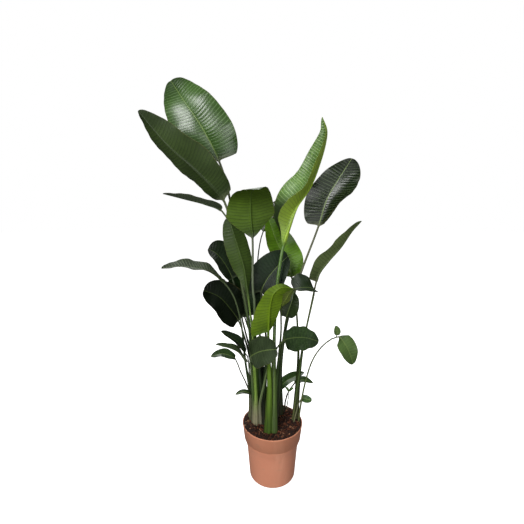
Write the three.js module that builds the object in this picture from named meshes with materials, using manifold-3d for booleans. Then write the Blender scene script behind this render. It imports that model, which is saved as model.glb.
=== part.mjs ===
// Potted bird of paradise: a nursery pot filled with potting bark, and one solid for each leaf.
// Millimetres, +Z up. Origin: the pot's axis on the flat underside. The plant's front faces -Y.
import * as THREE from "three";
import { mergeVertices } from "three/addons/utils/BufferGeometryUtils.js";
import Module from "manifold-3d";

const wasm = await Module();
wasm.setup();

const { degToRad, lerp, smoothstep } = THREE.MathUtils;

// Driving dimensions of the pot
const POT_HEIGHT = 230;
const RIM_RADIUS = 120;
const LIP = 3.2;
const LIP_EDGE = 1;
const COLLAR_FOOT = [112.6, 168];
const COLLAR_STEP = 1.4;
const WALL_TOP = [101, 126];
const SHOULDER_STEPS = 3;
const SHOULDER_HOLLOW = 1.25;
const BASE_RADIUS = 92;
const CORNER = 9;
const CORNER_STEPS = 3;
const WALL = 2.2;
const FLOOR = 3;
const POT_SIDES = 36;
const DRAIN_COUNT = 6;
const DRAIN_RADIUS = 6;
const DRAIN_CIRCLE = 66;
const DRAIN_SIDES = 12;

// Driving dimensions of the potting bark
const SOIL_TOP = 224;
const SOIL_CROWN = 3;
const SOIL_RINGS = [[0.7, 0], [0.3, 0.7], [0, 1]];
const SOIL_GAP = 0.35;
const ROOT_DEPTH = 45;
const HOLE_REACH = 16;
const HOLE_CLEARANCE = 0.6;
const CHIP_COUNT = 30;
const CHIP_LONG = [14, 26];
const CHIP_WIDE = [8, 14];
const CHIP_THICK = 6;
const CHIP_TOP_SHARE = 0.72;
const CHIP_TILT = 0.35;
const CHIP_LIFT = 0.6;
const CHIP_MARGIN = 3;
const CHIP_SEED = 41;

// Driving dimensions shared by every leaf. A stalk's cross-section is a ring of ten points:
// five over the top, RING_START degrees to the first and RING_PITCH apart, and five below.
const ACROSS = [-1, -0.52, 0, 0.52, 1];
const SPAN_SAMPLES = 24;
const RING_START = 162;
const RING_PITCH = 36;
const TOP_DEPTH = 0.72;
const UNDER_DEPTH = 0.92;
const STALK_TAPER = 1.3;
const SHEATH_FLARE = 0.3;
const SHEATH_LENGTH = 340;
const BLADE_THICKNESS = 1.2;
const MIDRIB_THICKNESS = [3.4, 1.5];
const TIP_HALF_WIDTH = 1.6;
const OUTLINE_SHIFT = 0.74;
const OUTLINE_FULLNESS = 0.62;
const VEIN_SWEEP = [-0.12, 0.3];
const NECK_SHARE = 0.06;
const NECK_WIDENING = 1.15;
const TURN_SPAN = 0.42;
const WAVE_OFFSET = 0.37;
const SECTION_CROWDING = 0.45;

// Cross-sections of the [stalk, blade] of a leaf at least this wide, widest first
const LEAF_STEPS = [[110, [6, 13]], [60, [5, 10]], [0, [4, 6]]];
const LAST_STALK_GAP = 0.4;
const SIDE_BLADE_STEPS = 5;

// Leaves. foot: x, y where the stalk enters the bark. stalk: points up to the blade's neck.
// blade: points of the midrib, neck first, tip last. face: the way the upper side looks at
// mid-blade. fold and curl: degrees that the [left, right] half rises from flat at the midrib,
// and bends further to its margin; curlTip is the bend at the tip. twist: degrees that the face
// turns round turnAt, a share of the blade's length. wave: [height, number] of the swells along
// each margin. stem: radius at the foot and the neck. shift and fullness shape the outline,
// opening is the share of the length over which it opens, and halves scales its two sides.
// sweep and lean slant the veins. side: a second blade on the same stem.
const LEAVES = [
  {
    name: "leaf_top_left", colour: 0x3e6830, foot: [-41, 16], stem: [7, 4.2],
    stalk: [[-56, 26, 371], [-88, 44, 576], [-125, 58, 798], [-166, 68, 1120]],
    blade: [[-202, 75, 1248], [-264, 92, 1370], [-328, 98, 1466], [-374, 84, 1536]],
    width: 202, face: [0.2, -0.96, 0.14], fold: [8, 8], curl: [10, 10], wave: [4, 3],
    fullness: 0.52, shift: 0.64, lean: 0.12,
  },
  {
    name: "leaf_far_left", colour: 0x385022, foot: [-82, 16], stem: [7, 4.2],
    stalk: [[-80, 12, 378], [-94, 6, 652], [-118, -2, 800], [-152, -6, 1000]],
    blade: [[-176, -18, 1100], [-218, -42, 1154], [-270, -70, 1208], [-348, -105, 1280],
      [-425, -135, 1375]],
    width: 160, face: [0.35, 0.75, 0.55], fold: [14, 14], curl: [10, 10], wave: [4, 3],
    lean: 0.1,
  },
  {
    name: "leaf_edge_left", colour: 0x627048, foot: [-34, -6], stem: [5.5, 3.4],
    stalk: [[-46, 2, 363], [-73, 22, 585], [-113, 31, 804], [-142, 33, 958]],
    blade: [[-190, 28, 1066], [-248, 12, 1092], [-318, -8, 1110], [-390, -30, 1128]],
    width: 110, face: [0.1, 0, 1], fold: [16, 12], curl: [8, 4], wave: [3, 2],
  },
  {
    name: "leaf_front_centre", colour: 0x46681c, foot: [-62, 9], stem: [9, 3.8],
    stalk: [[-64, 4, 383], [-69, -6, 596], [-71, -34, 751], [-75, -40, 780]],
    blade: [[-75, -60, 970], [-80, -72, 1040], [-80, -95, 1098], [-76, -140, 1130],
      [-66, -200, 1138], [-50, -262, 1132]],
    width: 172, face: [-0.2, 0.55, 0.8], fold: [2, 2], curl: [-2, -2], wave: [2, 2],
    fullness: 0.9, shift: 0.46, opening: 0.27,
  },
  {
    name: "leaf_tall_folded", colour: 0x769c24, foot: [3, -60], stem: [7.6, 6.2],
    stalk: [[2, -48, 430], [4, -30, 600], [14, 0, 780]],
    blade: [[36, 20, 930], [56, 26, 1000], [86, 32, 1080], [134, 36, 1151], [164, 34, 1225],
      [186, 24, 1308], [187, 12, 1350], [167, -4, 1389]],
    width: 208, face: [-0.97, -0.1, 0.2], fold: [44, 44], curl: [12, 12], twist: 76, turnAt: 0.24,
    wave: [5, 3],
    fullness: 0.7, shift: 0.5, opening: 0.2, halves: [0.84, 0.84],
  },
  {
    name: "leaf_right_glossy", colour: 0x1c2c14, foot: [34, 50], stem: [8, 3.8],
    stalk: [[33, 54, 440], [60, 62, 630], [104, 60, 805]],
    blade: [[172, 48, 1007], [199, 40, 1107], [230, 32, 1169], [257, 28, 1213], [283, 26, 1255]],
    width: 180, face: [-0.1, -0.85, 0.5], fold: [10, 14], curl: [8, 140], curlTip: [8, -20],
    wave: [4, 3],
    halves: [0.84, 0.98], lean: -0.3, sweep: [-0.1, 0.3],
  },
  {
    name: "leaf_right_upswept", colour: 0x4a5e34, foot: [98, 24], stem: [6.5, 3.6],
    stalk: [[107, 36, 387], [122, 42, 531], [139, 44, 631], [158, 40, 740]],
    blade: [[167, 38, 791], [178, 36, 829], [214, 32, 880], [257, 28, 932], [295, 24, 991],
      [328, 22, 1030]],
    width: 112, face: [-0.75, 0.1, 0.6], fold: [20, 50], curl: [8, 12], wave: [4, 3],
    shift: 0.55, opening: 0.06, halves: [1, 0.9],
  },
  {
    name: "leaf_right_small", colour: 0x222e22, foot: [84, 10], stem: [3.6, 2.6],
    stalk: [[107, 18, 414], [121, 22, 548], [138, 22, 642], [156, 18, 740]],
    blade: [[156, 2, 774], [131, -18, 786], [104, -38, 791], [73, -58, 792]],
    width: 112, face: [0.1, -0.1, 1], fold: [8, 34], curl: [6, 6], wave: [2, 2],
    sweep: [-0.5, 0.2],
  },
  {
    name: "leaf_front_arched", colour: 0x6a9218, foot: [-17, -62], stem: [6.8, 5],
    stalk: [[-13, -63, 400], [-17, -61, 540]],
    blade: [[-19, -60, 627], [-17, -66, 685], [-12, -74, 740], [0, -80, 780], [29, -80, 802],
      [68, -70, 796]],
    width: 100, face: [-0.15, 0.85, 0.45], fold: [8, 14], curl: [4, 12], wave: [3, 2],
    fullness: 0.5, shift: 0.56, opening: 0.04, halves: [0.75, 1.1], lean: 0.3, sweep: [-0.3, 0.2],
  },
  {
    name: "leaf_front_olive", colour: 0x5c6a26, foot: [12, 4], stem: [5, 3.4],
    stalk: [[18, 12, 400], [32, 12, 600]],
    blade: [[32, -16, 714], [44, -28, 741], [57, -38, 767], [73, -44, 788]],
    width: 62, face: [-0.35, 0.8, 0.3], fold: [10, 10], curl: [6, 6], wave: [2, 2],
    halves: [0.8, 1], sweep: [-0.5, 0.2],
  },
  {
    name: "leaf_behind_folded", colour: 0x42701c, foot: [92, 44], stem: [5.5, 3.6],
    stalk: [[103, 58, 375], [107, 66, 503], [92, 78, 720]],
    blade: [[78, 86, 800], [52, 92, 868], [14, 100, 950], [-18, 104, 1040]],
    width: 122, face: [0.2, -0.9, 0.3], fold: [14, 8], curl: [6, 10], wave: [3, 3],
    halves: [0.85, 1.2], lean: 0.15,
  },
  {
    name: "leaf_dark_behind", colour: 0x1c3014, foot: [-24, 64], stem: [4.4, 2.6],
    stalk: [[-44, 92, 450], [-58, 116, 700], [-60, 124, 860]],
    blade: [[-38, 142, 980], [-2, 148, 1035], [40, 154, 1082], [82, 162, 1120]],
    width: 92, face: [-0.3, -0.8, 0.5], fold: [12, 12], curl: [6, 6], wave: [2, 2],
  },
  {
    name: "leaf_left_folded", colour: 0x425a1c, foot: [-66, -13], stem: [6.5, 3.6],
    stalk: [[-69, -20, 397], [-78, -28, 605], [-92, -26, 741]],
    blade: [[-108, -28, 864], [-124, -34, 924], [-142, -38, 986], [-160, -38, 1046]],
    width: 98, face: [-0.35, 0.8, 0.3], fold: [20, 26], curl: [6, 6], wave: [3, 2],
    fullness: 0.5, opening: 0.05, sweep: [-0.6, 0.15],
  },
  {
    name: "leaf_dark_left", colour: 0x1e2a1a, foot: [-52, 50], stem: [5.5, 3],
    stalk: [[-72, 59, 419], [-121, 65, 632], [-132, 66, 700]],
    blade: [[-158, 62, 800], [-186, 54, 862], [-214, 44, 902], [-246, 34, 926]],
    width: 90, face: [0.3, -0.7, 0.6], fold: [16, 16], curl: [6, 6], wave: [3, 2],
    fullness: 0.5, halves: [1, 1.7],
  },
  {
    name: "leaf_left_level", colour: 0x24362a, foot: [-76, 38], stem: [6, 3.4],
    stalk: [[-108, 16, 480], [-124, 18, 640], [-150, 10, 745]],
    blade: [[-184, -4, 802], [-230, -34, 850], [-285, -66, 872], [-336, -90, 880],
      [-385, -108, 876]],
    width: 104, face: [0.2, -0.3, 1], fold: [18, 4], curl: [6, 4], wave: [4, 3],
  },
  {
    name: "leaf_black_left", colour: 0x182214, foot: [-58, 31], stem: [6, 3.2],
    stalk: [[-80, 36, 430], [-115, 48, 575]],
    blade: [[-134, 46, 632], [-168, 34, 690], [-208, 16, 742], [-262, -4, 772]],
    width: 156, face: [0.3, -0.75, 0.6], fold: [18, 12], curl: [6, 6], wave: [3, 2],
    fullness: 0.5,
  },
  {
    name: "leaf_dark_upright", colour: 0x203616, foot: [-40, 37], stem: [5.5, 3],
    stalk: [[-61, 62, 417], [-89, 84, 560]],
    blade: [[-112, 88, 632], [-124, 90, 709], [-129, 95, 788], [-125, 106, 868]],
    width: 118, face: [0.1, -0.95, 0.2], fold: [14, 14], curl: [6, 6], wave: [3, 2],
  },
  {
    name: "leaf_narrow_left", colour: 0x202e1c, foot: [-70, 54], stem: [3.4, 2.4],
    stalk: [[-89, 36, 365], [-99, 10, 503]],
    blade: [[-106, -6, 520], [-130, -16, 566], [-162, -28, 598], [-195, -42, 625]],
    width: 50, face: [0.3, -0.4, 0.8], fold: [18, 18], curl: [4, 4], wave: [2, 2],
  },
  {
    name: "leaf_dark_centre", colour: 0x2a402c, foot: [-17, 2], stem: [5.5, 3.4],
    stalk: [[-34, 6, 365], [-24, 16, 480], [-30, 28, 620]],
    blade: [[-45, 38, 752], [-24, 44, 802], [14, 50, 850], [58, 58, 892]],
    width: 150, face: [-0.2, -0.95, 0.2], fold: [12, 3], curl: [6, 0], wave: [3, 2],
    fullness: 0.52, lean: 0.3, sweep: [-0.9, 0.3],
  },
  {
    name: "leaf_dark_oval", colour: 0x30402e, foot: [24, 32], stem: [5, 3],
    stalk: [[32, 36, 410], [42, 38, 560]],
    blade: [[54, 34, 652], [64, 30, 690], [74, 28, 722], [80, 30, 756]],
    width: 74, face: [0, -0.9, 0.4], fold: [12, 12], curl: [8, 8], wave: [2, 2],
  },
  {
    name: "leaf_front_low", colour: 0x3a4c3a, foot: [-80, -9], stem: [4, 3],
    stalk: [[-77, -30, 360], [-85, -60, 500]],
    blade: [[-84, -88, 544], [-56, -122, 578], [-26, -146, 597], [7, -168, 609]],
    width: 132, face: [-0.15, -0.6, 0.8], fold: [-10, -4], curl: [-4, -10], wave: [3, 2],
    fullness: 0.46, shift: 0.66, halves: [1, 0.85], lean: -0.35, sweep: [-0.4, 0.2],
  },
  {
    name: "leaf_thin_left", colour: 0x263826, foot: [-95, 31], stem: [3.2, 2.4],
    stalk: [[-92, 15, 311], [-94, 4, 383], [-93, -10, 487]],
    blade: [[-102, -42, 505], [-128, -56, 548], [-166, -72, 574], [-208, -88, 592]],
    width: 46, face: [0.3, 0, 1], fold: [16, 16], curl: [4, 4], wave: [2, 2],
  },
  {
    name: "leaf_low_left", colour: 0x3a542c, foot: [-76, 66], stem: [2.4, 1.8],
    stalk: [[-93, 56, 318], [-106, 52, 360], [-132, 46, 425]],
    blade: [[-150, 42, 476], [-172, 34, 494], [-205, 24, 506], [-244, 14, 498]],
    width: 46, face: [0.2, -0.5, 0.9], fold: [16, 16], curl: [4, 4], wave: [2, 2],
  },
  {
    name: "leaf_low_right", colour: 0x324626, foot: [-47, -17], stem: [6, 3],
    stalk: [[-50, -28, 325], [-37, -36, 393], [-19, -38, 477], [6, -19, 533]],
    blade: [[40, -4, 572], [80, -14, 588], [125, -24, 592], [172, -30, 580]],
    width: 98, face: [0, -0.5, 0.85], fold: [8, 8], curl: [8, 8], wave: [2, 3],
  },
  {
    name: "leaf_far_right", colour: 0x3e582c, foot: [106, 2], stem: [3, 2.2],
    stalk: [[116, 0, 321], [134, -4, 422], [159, -4, 501], [202, -3, 560]],
    blade: [[252, -4, 588], [276, -6, 562], [298, -6, 522], [314, -4, 476]],
    width: 78, face: [0.3, -0.9, 0.2], fold: [8, 8], curl: [8, 8], wave: [2, 2],
    opening: 0.16,
    side: {
      start: [242, -3, 583], blade: [[246, -4, 594], [246, -6, 612], [240, -8, 634]],
      width: 28, face: [0.1, -1, 0.1], fold: [10, 10], curl: [6, 6],
      wave: [0.5, 1], radius: 1.6,
    },
  },
  {
    name: "leaf_low_back", colour: 0x365226, foot: [10, 54], stem: [4, 2.8],
    stalk: [[18, 68, 265]],
    blade: [[32, 76, 322], [55, 86, 350], [94, 96, 369], [138, 106, 384]],
    width: 50, face: [-0.3, -0.5, 0.8], fold: [14, 14], curl: [6, 6], wave: [2, 2],
  },
  {
    name: "leaf_low_back_narrow", colour: 0x3c582a, foot: [52, 58], stem: [3, 2.4],
    stalk: [[62, 88, 282]],
    blade: [[98, 106, 334], [124, 112, 346], [152, 118, 340], [180, 122, 326]],
    width: 34, face: [0, -0.5, 1], fold: [16, 16], curl: [4, 4], wave: [1.5, 2],
  },
  {
    name: "leaf_tiny_round", colour: 0x40622c, foot: [86, -6], stem: [2.6, 1.8],
    stalk: [[98, 8, 268], [108, 16, 302]],
    blade: [[118, 17, 318], [130, 14, 318], [144, 11, 316], [158, 8, 314]],
    width: 31, face: [0.1, -0.8, 0.6], fold: [8, 8], curl: [8, 8], wave: [1, 1],
    fullness: 0.5,
  },
  {
    name: "leaf_tiny_left", colour: 0x3c5a2e, foot: [-90, 1], stem: [2.6, 1.8],
    stalk: [[-86, -3, 305]],
    blade: [[-87, -7, 349], [-99, -13, 361], [-120, -18, 366], [-146, -23, 358]],
    width: 25, face: [0.2, -0.3, 1], fold: [12, 12], curl: [4, 4], wave: [1, 1],
  },
  {
    name: "leaf_seedling", colour: 0x5a863c, foot: [62, 74], stem: [2, 1.4],
    stalk: [[68, 80, 268], [72, 82, 300]],
    blade: [[70, 82, 312], [64, 80, 324], [56, 78, 332]],
    width: 12, face: [0.3, -0.8, 0.6], fold: [10, 10], curl: [4, 4], wave: [0.5, 1],
    side: {
      start: [71, 82, 304], blade: [[75, 82, 312], [82, 81, 322], [92, 80, 327]],
      width: 11, face: [-0.3, -0.8, 0.6], fold: [10, 10], curl: [4, 4],
      wave: [0.5, 1], radius: 1.2,
    },
  },
];

const vec = (p) => new THREE.Vector3(p[0], p[1], p[2]);

// Seeded random numbers between 0 and 1
function randomSource(seed) {
  let state = seed;
  return () => {
    state = (state * 16807) % 2147483647;
    return state / 2147483647;
  };
}

// A closed indexed geometry as a manifold solid, and back
function toSolid(geometry) {
  const bare = new THREE.BufferGeometry();
  bare.setAttribute("position", geometry.getAttribute("position"));
  if (geometry.index) bare.setIndex(geometry.index);
  const merged = mergeVertices(bare, 1e-4);
  return new wasm.Manifold(new wasm.Mesh({
    numProp: 3,
    vertProperties: new Float32Array(merged.getAttribute("position").array),
    triVerts: new Uint32Array(merged.index.array),
  }));
}

function toGeometry(solid) {
  const mesh = solid.getMesh();
  const geometry = new THREE.BufferGeometry();
  geometry.setAttribute("position", new THREE.BufferAttribute(new Float32Array(mesh.vertProperties), 3));
  geometry.setIndex(new THREE.BufferAttribute(new Uint32Array(mesh.triVerts), 1));
  geometry.computeVertexNormals();
  return geometry;
}

// A profile of [radius, height] turned round the Z axis
function turned(profile, sides) {
  const points = profile.map(([radius, height]) => new THREE.Vector2(radius, height));
  return new THREE.LatheGeometry(points, sides).rotateX(Math.PI / 2);
}

// A midline through the points, sampled densely, with its running length and carried frame
class Midline {
  constructor(points, neckIndex, face) {
    const curve = new THREE.CatmullRomCurve3(points.map(vec), false, "centripetal");
    const count = SPAN_SAMPLES * (points.length - 1);
    this.points = curve.getPoints(count);
    this.lengths = [0];
    for (let i = 1; i <= count; i += 1) {
      this.lengths.push(this.lengths[i - 1] + this.points[i].distanceTo(this.points[i - 1]));
    }
    this.neck = this.lengths[SPAN_SAMPLES * neckIndex];
    this.total = this.lengths[count];
    this.carryFace(face, count);
  }

  // The upper side's direction, set at mid-blade and carried along without turning about the line
  carryFace(face, count) {
    this.tangents = this.points.map((_, i) => {
      const before = this.points[Math.max(i - 1, 0)];
      const after = this.points[Math.min(i + 1, count)];
      return after.clone().sub(before).normalize();
    });
    const middle = this.lengths.findIndex((length) => length >= (this.neck + this.total) / 2);
    this.faces = new Array(count + 1);
    const square = (direction, i) => {
      const along = this.tangents[i];
      return direction.clone().addScaledVector(along, -direction.dot(along)).normalize();
    };
    this.faces[middle] = square(vec(face), middle);
    for (let i = middle + 1; i <= count; i += 1) this.faces[i] = square(this.faces[i - 1], i);
    for (let i = middle - 1; i >= 0; i -= 1) this.faces[i] = square(this.faces[i + 1], i);
  }

  // Point, direction and upper side at a distance from the foot
  at(distance) {
    const reach = Math.min(Math.max(distance, 0), this.total);
    let i = this.lengths.findIndex((length) => length > reach) - 1;
    if (i < 0) i = this.lengths.length - 2;
    const part = (reach - this.lengths[i]) / (this.lengths[i + 1] - this.lengths[i]);
    const along = this.tangents[i].clone().lerp(this.tangents[i + 1], part).normalize();
    const up = this.faces[i].clone().lerp(this.faces[i + 1], part);
    up.addScaledVector(along, -up.dot(along)).normalize();
    return { point: this.points[i].clone().lerp(this.points[i + 1], part), along, up };
  }

  // The same at a share of the blade's length
  onBlade(share) {
    return this.at(lerp(this.neck, this.total, share));
  }
}

// One cross-section of the stalk: ten points, the top row left to right, then the bottom row
function stalkRows(place, radius, flare = 0) {
  const side = place.along.clone().cross(place.up).multiplyScalar(1 + flare);
  const row = (sign, depth) => ACROSS.map((_, j) => {
    const turn = degToRad(sign * (RING_START - RING_PITCH * j));
    return place.point.clone()
      .addScaledVector(side, radius * Math.cos(turn))
      .addScaledVector(place.up, radius * depth * Math.sin(turn));
  });
  return { top: row(1, TOP_DEPTH), bottom: row(-1, UNDER_DEPTH) };
}

// Half-width of the blade, from 0 at the neck to 1 at its widest, and back at the tip
function outline(along, leaf) {
  const shift = leaf.shift ?? OUTLINE_SHIFT;
  return Math.sin(Math.PI * along ** shift) ** (leaf.fullness ?? OUTLINE_FULLNESS);
}

// How far the upper side has turned about the midrib at a share of the blade's length
function turnAt(share, leaf) {
  if (!leaf.twist) return 0;
  const turning = smoothstep(share, leaf.turnAt - TURN_SPAN / 2, leaf.turnAt + TURN_SPAN / 2);
  return degToRad(leaf.twist * (turning - 0.5));
}

// The chord of an arc as a share of its length
const chordShare = (angle) => (Math.abs(angle) < 1e-6 ? 1 : Math.sin(angle / 2) / (angle / 2));

// One cross-section of the blade at a share of its length: a folded, curled, waved strip
function bladeRows(place, share, leaf, neckRadius) {
  const up = place.up.clone().applyAxisAngle(place.along, turnAt(share, leaf));
  const side = place.along.clone().cross(up);
  const opening = Math.min(share / (leaf.opening ?? NECK_SHARE), 1);
  const ribThickness = lerp(...MIDRIB_THICKNESS, share);
  const rows = { top: [], bottom: [] };
  for (const across of ACROSS) {
    const hand = Math.sign(across);
    const reach = Math.abs(across);
    const index = hand > 0 ? 1 : 0;
    const scale = (leaf.halves ?? [1, 1])[index];
    const half = Math.max(leaf.width / 2 * scale * outline(share, leaf), TIP_HALF_WIDTH);
    const width = lerp(neckRadius * NECK_WIDENING, half, opening);
    const fold = degToRad(leaf.fold[index]);
    const curl = lerp(leaf.curl[index], (leaf.curlTip ?? leaf.curl)[index], share) * opening;
    const bend = degToRad(curl) * reach;
    const chord = width * reach * chordShare(bend);
    const slope = fold + bend / 2;
    const [waveHeight, waveCount] = leaf.wave;
    const swell = Math.sin(2 * Math.PI * (waveCount * share + WAVE_OFFSET * index));
    const lift = waveHeight * swell * reach ** 2 * Math.min(width / (leaf.width / 2), 1);
    const sweep = lerp(...(leaf.sweep ?? VEIN_SWEEP), share) - (leaf.lean ?? 0) * hand;
    const middle = place.point.clone()
      .addScaledVector(side, hand * chord * Math.cos(slope))
      .addScaledVector(up, chord * Math.sin(slope) + lift)
      .addScaledVector(place.along, width * reach * sweep);
    const tilt = hand === 0 ? 0 : fold + bend;
    const normal = up.clone().multiplyScalar(Math.cos(tilt)).addScaledVector(side, -hand * Math.sin(tilt));
    const thickness = hand === 0 ? ribThickness : BLADE_THICKNESS;
    rows.top.push(middle.clone().addScaledVector(normal, thickness / 2));
    rows.bottom.push(middle.clone().addScaledVector(normal, -thickness / 2));
  }
  return rows;
}

// A closed skin over the sections. Both faces are split into triangles alike.
function skin(sections) {
  const columns = ACROSS.length;
  const positions = [];
  const index = [];
  for (const { top, bottom } of sections) {
    for (const point of [...top, ...bottom]) positions.push(point.x, point.y, point.z);
  }
  const topAt = (i, j) => i * 2 * columns + j;
  const bottomAt = (i, j) => topAt(i, j) + columns;
  const quad = (a, b, c, d) => index.push(a, b, c, a, c, d);
  for (let i = 0; i < sections.length - 1; i += 1) {
    for (let j = 0; j < columns - 1; j += 1) {
      quad(topAt(i, j), topAt(i, j + 1), topAt(i + 1, j + 1), topAt(i + 1, j));
      index.push(bottomAt(i, j), bottomAt(i + 1, j + 1), bottomAt(i, j + 1));
      index.push(bottomAt(i, j), bottomAt(i + 1, j), bottomAt(i + 1, j + 1));
    }
    const last = columns - 1;
    quad(topAt(i, 0), topAt(i + 1, 0), bottomAt(i + 1, 0), bottomAt(i, 0));
    quad(topAt(i, last), bottomAt(i, last), bottomAt(i + 1, last), topAt(i + 1, last));
  }
  const end = sections.length - 1;
  for (let j = 0; j < columns - 1; j += 1) {
    quad(topAt(0, j), bottomAt(0, j), bottomAt(0, j + 1), topAt(0, j + 1));
    quad(topAt(end, j), topAt(end, j + 1), bottomAt(end, j + 1), bottomAt(end, j));
  }
  const geometry = new THREE.BufferGeometry();
  geometry.setAttribute("position", new THREE.Float32BufferAttribute(positions, 3));
  geometry.setIndex(index);
  return geometry;
}

const midlineOf = (leaf) => {
  const rooted = [[...leaf.foot, SOIL_TOP - ROOT_DEPTH], [...leaf.foot, SOIL_TOP + SOIL_CROWN]];
  const points = [...rooted, ...leaf.stalk, ...leaf.blade];
  return new Midline(points, points.length - leaf.blade.length, leaf.face);
};

// The sheath at the foot of a stalk is wider than it is deep
const sheathFlare = (distance) => SHEATH_FLARE * Math.max(1 - distance / SHEATH_LENGTH, 0);

const stalkRadius = (leaf, midline, distance) => {
  const [foot, neck] = leaf.stem;
  return neck + (foot - neck) * (1 - distance / midline.neck) ** STALK_TAPER;
};

// A leaf: its stalk and blade in one closed skin
function leafSkin(leaf, midline, stalkSteps, bladeSteps) {
  const stalkAt = (distance) => stalkRows(
    midline.at(distance), stalkRadius(leaf, midline, distance), sheathFlare(distance));
  const sections = [stalkAt(0)];
  for (let i = 0; i < stalkSteps; i += 1) {
    const share = i / (stalkSteps - 1 + LAST_STALK_GAP);
    sections.push(stalkAt(lerp(ROOT_DEPTH + HOLE_REACH, midline.neck, share)));
  }
  for (let i = 0; i <= bladeSteps; i += 1) {
    const even = i / bladeSteps;
    const share = lerp(even, (1 - Math.cos(Math.PI * even)) / 2, SECTION_CROWDING);
    sections.push(bladeRows(midline.onBlade(share), share, leaf, leaf.stem[1]));
  }
  return skin(sections);
}

// A small second blade on the same stem, its base sunk in the stem
function sideBlade(side) {
  const midline = new Midline([side.start, ...side.blade], 1, side.face);
  const sections = [stalkRows(midline.at(0), side.radius)];
  for (let i = 0; i <= SIDE_BLADE_STEPS; i += 1) {
    const share = i / SIDE_BLADE_STEPS;
    sections.push(bladeRows(midline.onBlade(share), share, side, side.radius));
  }
  return skin(sections);
}

function leafGeometry(leaf) {
  const [, [stalkSteps, bladeSteps]] = LEAF_STEPS.find(([width]) => leaf.width > width);
  const body = leafSkin(leaf, midlineOf(leaf), stalkSteps, bladeSteps);
  if (leaf.side) return toGeometry(toSolid(body).add(toSolid(sideBlade(leaf.side))));
  body.computeVertexNormals();
  return body;
}

// The plain hole that a stalk stands in: its straight foot, a little wider
function holeGeometry(leaf) {
  const midline = midlineOf(leaf);
  const sections = [0, ROOT_DEPTH + HOLE_REACH].map((distance) => {
    const place = midline.at(distance);
    if (distance === 0) place.point.z -= HOLE_CLEARANCE;
    const radius = stalkRadius(leaf, midline, distance) + HOLE_CLEARANCE;
    return stalkRows(place, radius, sheathFlare(distance));
  });
  return skin(sections);
}

// The pot's wall from the bottom corner up to the collar, drawn in by the offset
function wallCurve(offset) {
  const [collarRadius, collarHeight] = COLLAR_FOOT;
  const [wallRadius, wallHeight] = WALL_TOP;
  const shoulderTop = collarHeight - COLLAR_STEP * 2;
  const points = [];
  for (let i = 0; i <= SHOULDER_STEPS; i += 1) {
    const share = i / SHOULDER_STEPS;
    const reach = (collarRadius - COLLAR_STEP - wallRadius) * share ** SHOULDER_HOLLOW;
    points.push([wallRadius + reach - offset, lerp(wallHeight, shoulderTop, share)]);
  }
  points.push([collarRadius - offset, collarHeight]);
  return points;
}

// Outer wall of the pot: [radius, height] from the underside up to the rim
function potOutside() {
  const corner = [];
  for (let i = 0; i <= CORNER_STEPS; i += 1) {
    const turn = Math.PI / 2 * i / CORNER_STEPS;
    corner.push([BASE_RADIUS - CORNER + CORNER * Math.sin(turn), CORNER - CORNER * Math.cos(turn)]);
  }
  return [
    [0, 0],
    ...corner,
    ...wallCurve(0),
    [RIM_RADIUS - LIP_EDGE, POT_HEIGHT - LIP - LIP_EDGE],
    [RIM_RADIUS, POT_HEIGHT - LIP],
    [RIM_RADIUS, POT_HEIGHT - LIP_EDGE],
    [RIM_RADIUS - LIP_EDGE, POT_HEIGHT],
  ];
}

// Inner wall of the pot, from the rim down to the floor
function potInside(gap) {
  return [
    [RIM_RADIUS - LIP - gap, POT_HEIGHT - LIP_EDGE],
    ...wallCurve(WALL + gap).reverse(),
    [BASE_RADIUS - WALL - gap, CORNER],
    [BASE_RADIUS - CORNER - gap, FLOOR + gap],
    [0, FLOOR + gap],
  ];
}

function potGeometry() {
  const rimInner = [RIM_RADIUS - LIP + LIP_EDGE, POT_HEIGHT];
  let body = toSolid(turned([...potOutside(), rimInner, ...potInside(0)], POT_SIDES));
  for (let i = 0; i < DRAIN_COUNT; i += 1) {
    const turn = 2 * Math.PI * (i + 0.5) / DRAIN_COUNT;
    const drain = new THREE.CylinderGeometry(DRAIN_RADIUS, DRAIN_RADIUS, 4 * FLOOR, DRAIN_SIDES)
      .rotateX(Math.PI / 2)
      .translate(DRAIN_CIRCLE * Math.cos(turn), DRAIN_CIRCLE * Math.sin(turn), FLOOR);
    body = body.subtract(toSolid(drain));
  }
  return toGeometry(body);
}

// Inside radius of the collar at a height, less the gap round the bark
function soilRadius(height) {
  const [rim] = potInside(SOIL_GAP);
  const [collarRadius, collarHeight] = COLLAR_FOOT;
  const share = (height - collarHeight) / (rim[1] - collarHeight);
  return lerp(collarRadius - WALL - SOIL_GAP, rim[0], share);
}

// A bark chip: a flat box with its top drawn in, tilted and sunk into the surface
function chipGeometry(random) {
  const length = lerp(...CHIP_LONG, random());
  const width = lerp(...CHIP_WIDE, random());
  const chip = new THREE.BoxGeometry(length, width, CHIP_THICK).toNonIndexed();
  const place = chip.getAttribute("position");
  for (let i = 0; i < place.count; i += 1) {
    const share = place.getZ(i) > 0 ? CHIP_TOP_SHARE : 1;
    place.setXYZ(i, place.getX(i) * share, place.getY(i) * share, place.getZ(i));
  }
  const turn = 2 * Math.PI * random();
  const reach = (soilRadius(SOIL_TOP) - CHIP_LONG[1] / 2 - CHIP_MARGIN) * Math.sqrt(random());
  const bearing = 2 * Math.PI * random();
  return chip.rotateX(CHIP_TILT * (random() - 0.5)).rotateY(CHIP_TILT * (random() - 0.5)).rotateZ(turn)
    .translate(reach * Math.cos(bearing), reach * Math.sin(bearing), SOIL_TOP + CHIP_LIFT);
}

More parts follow.
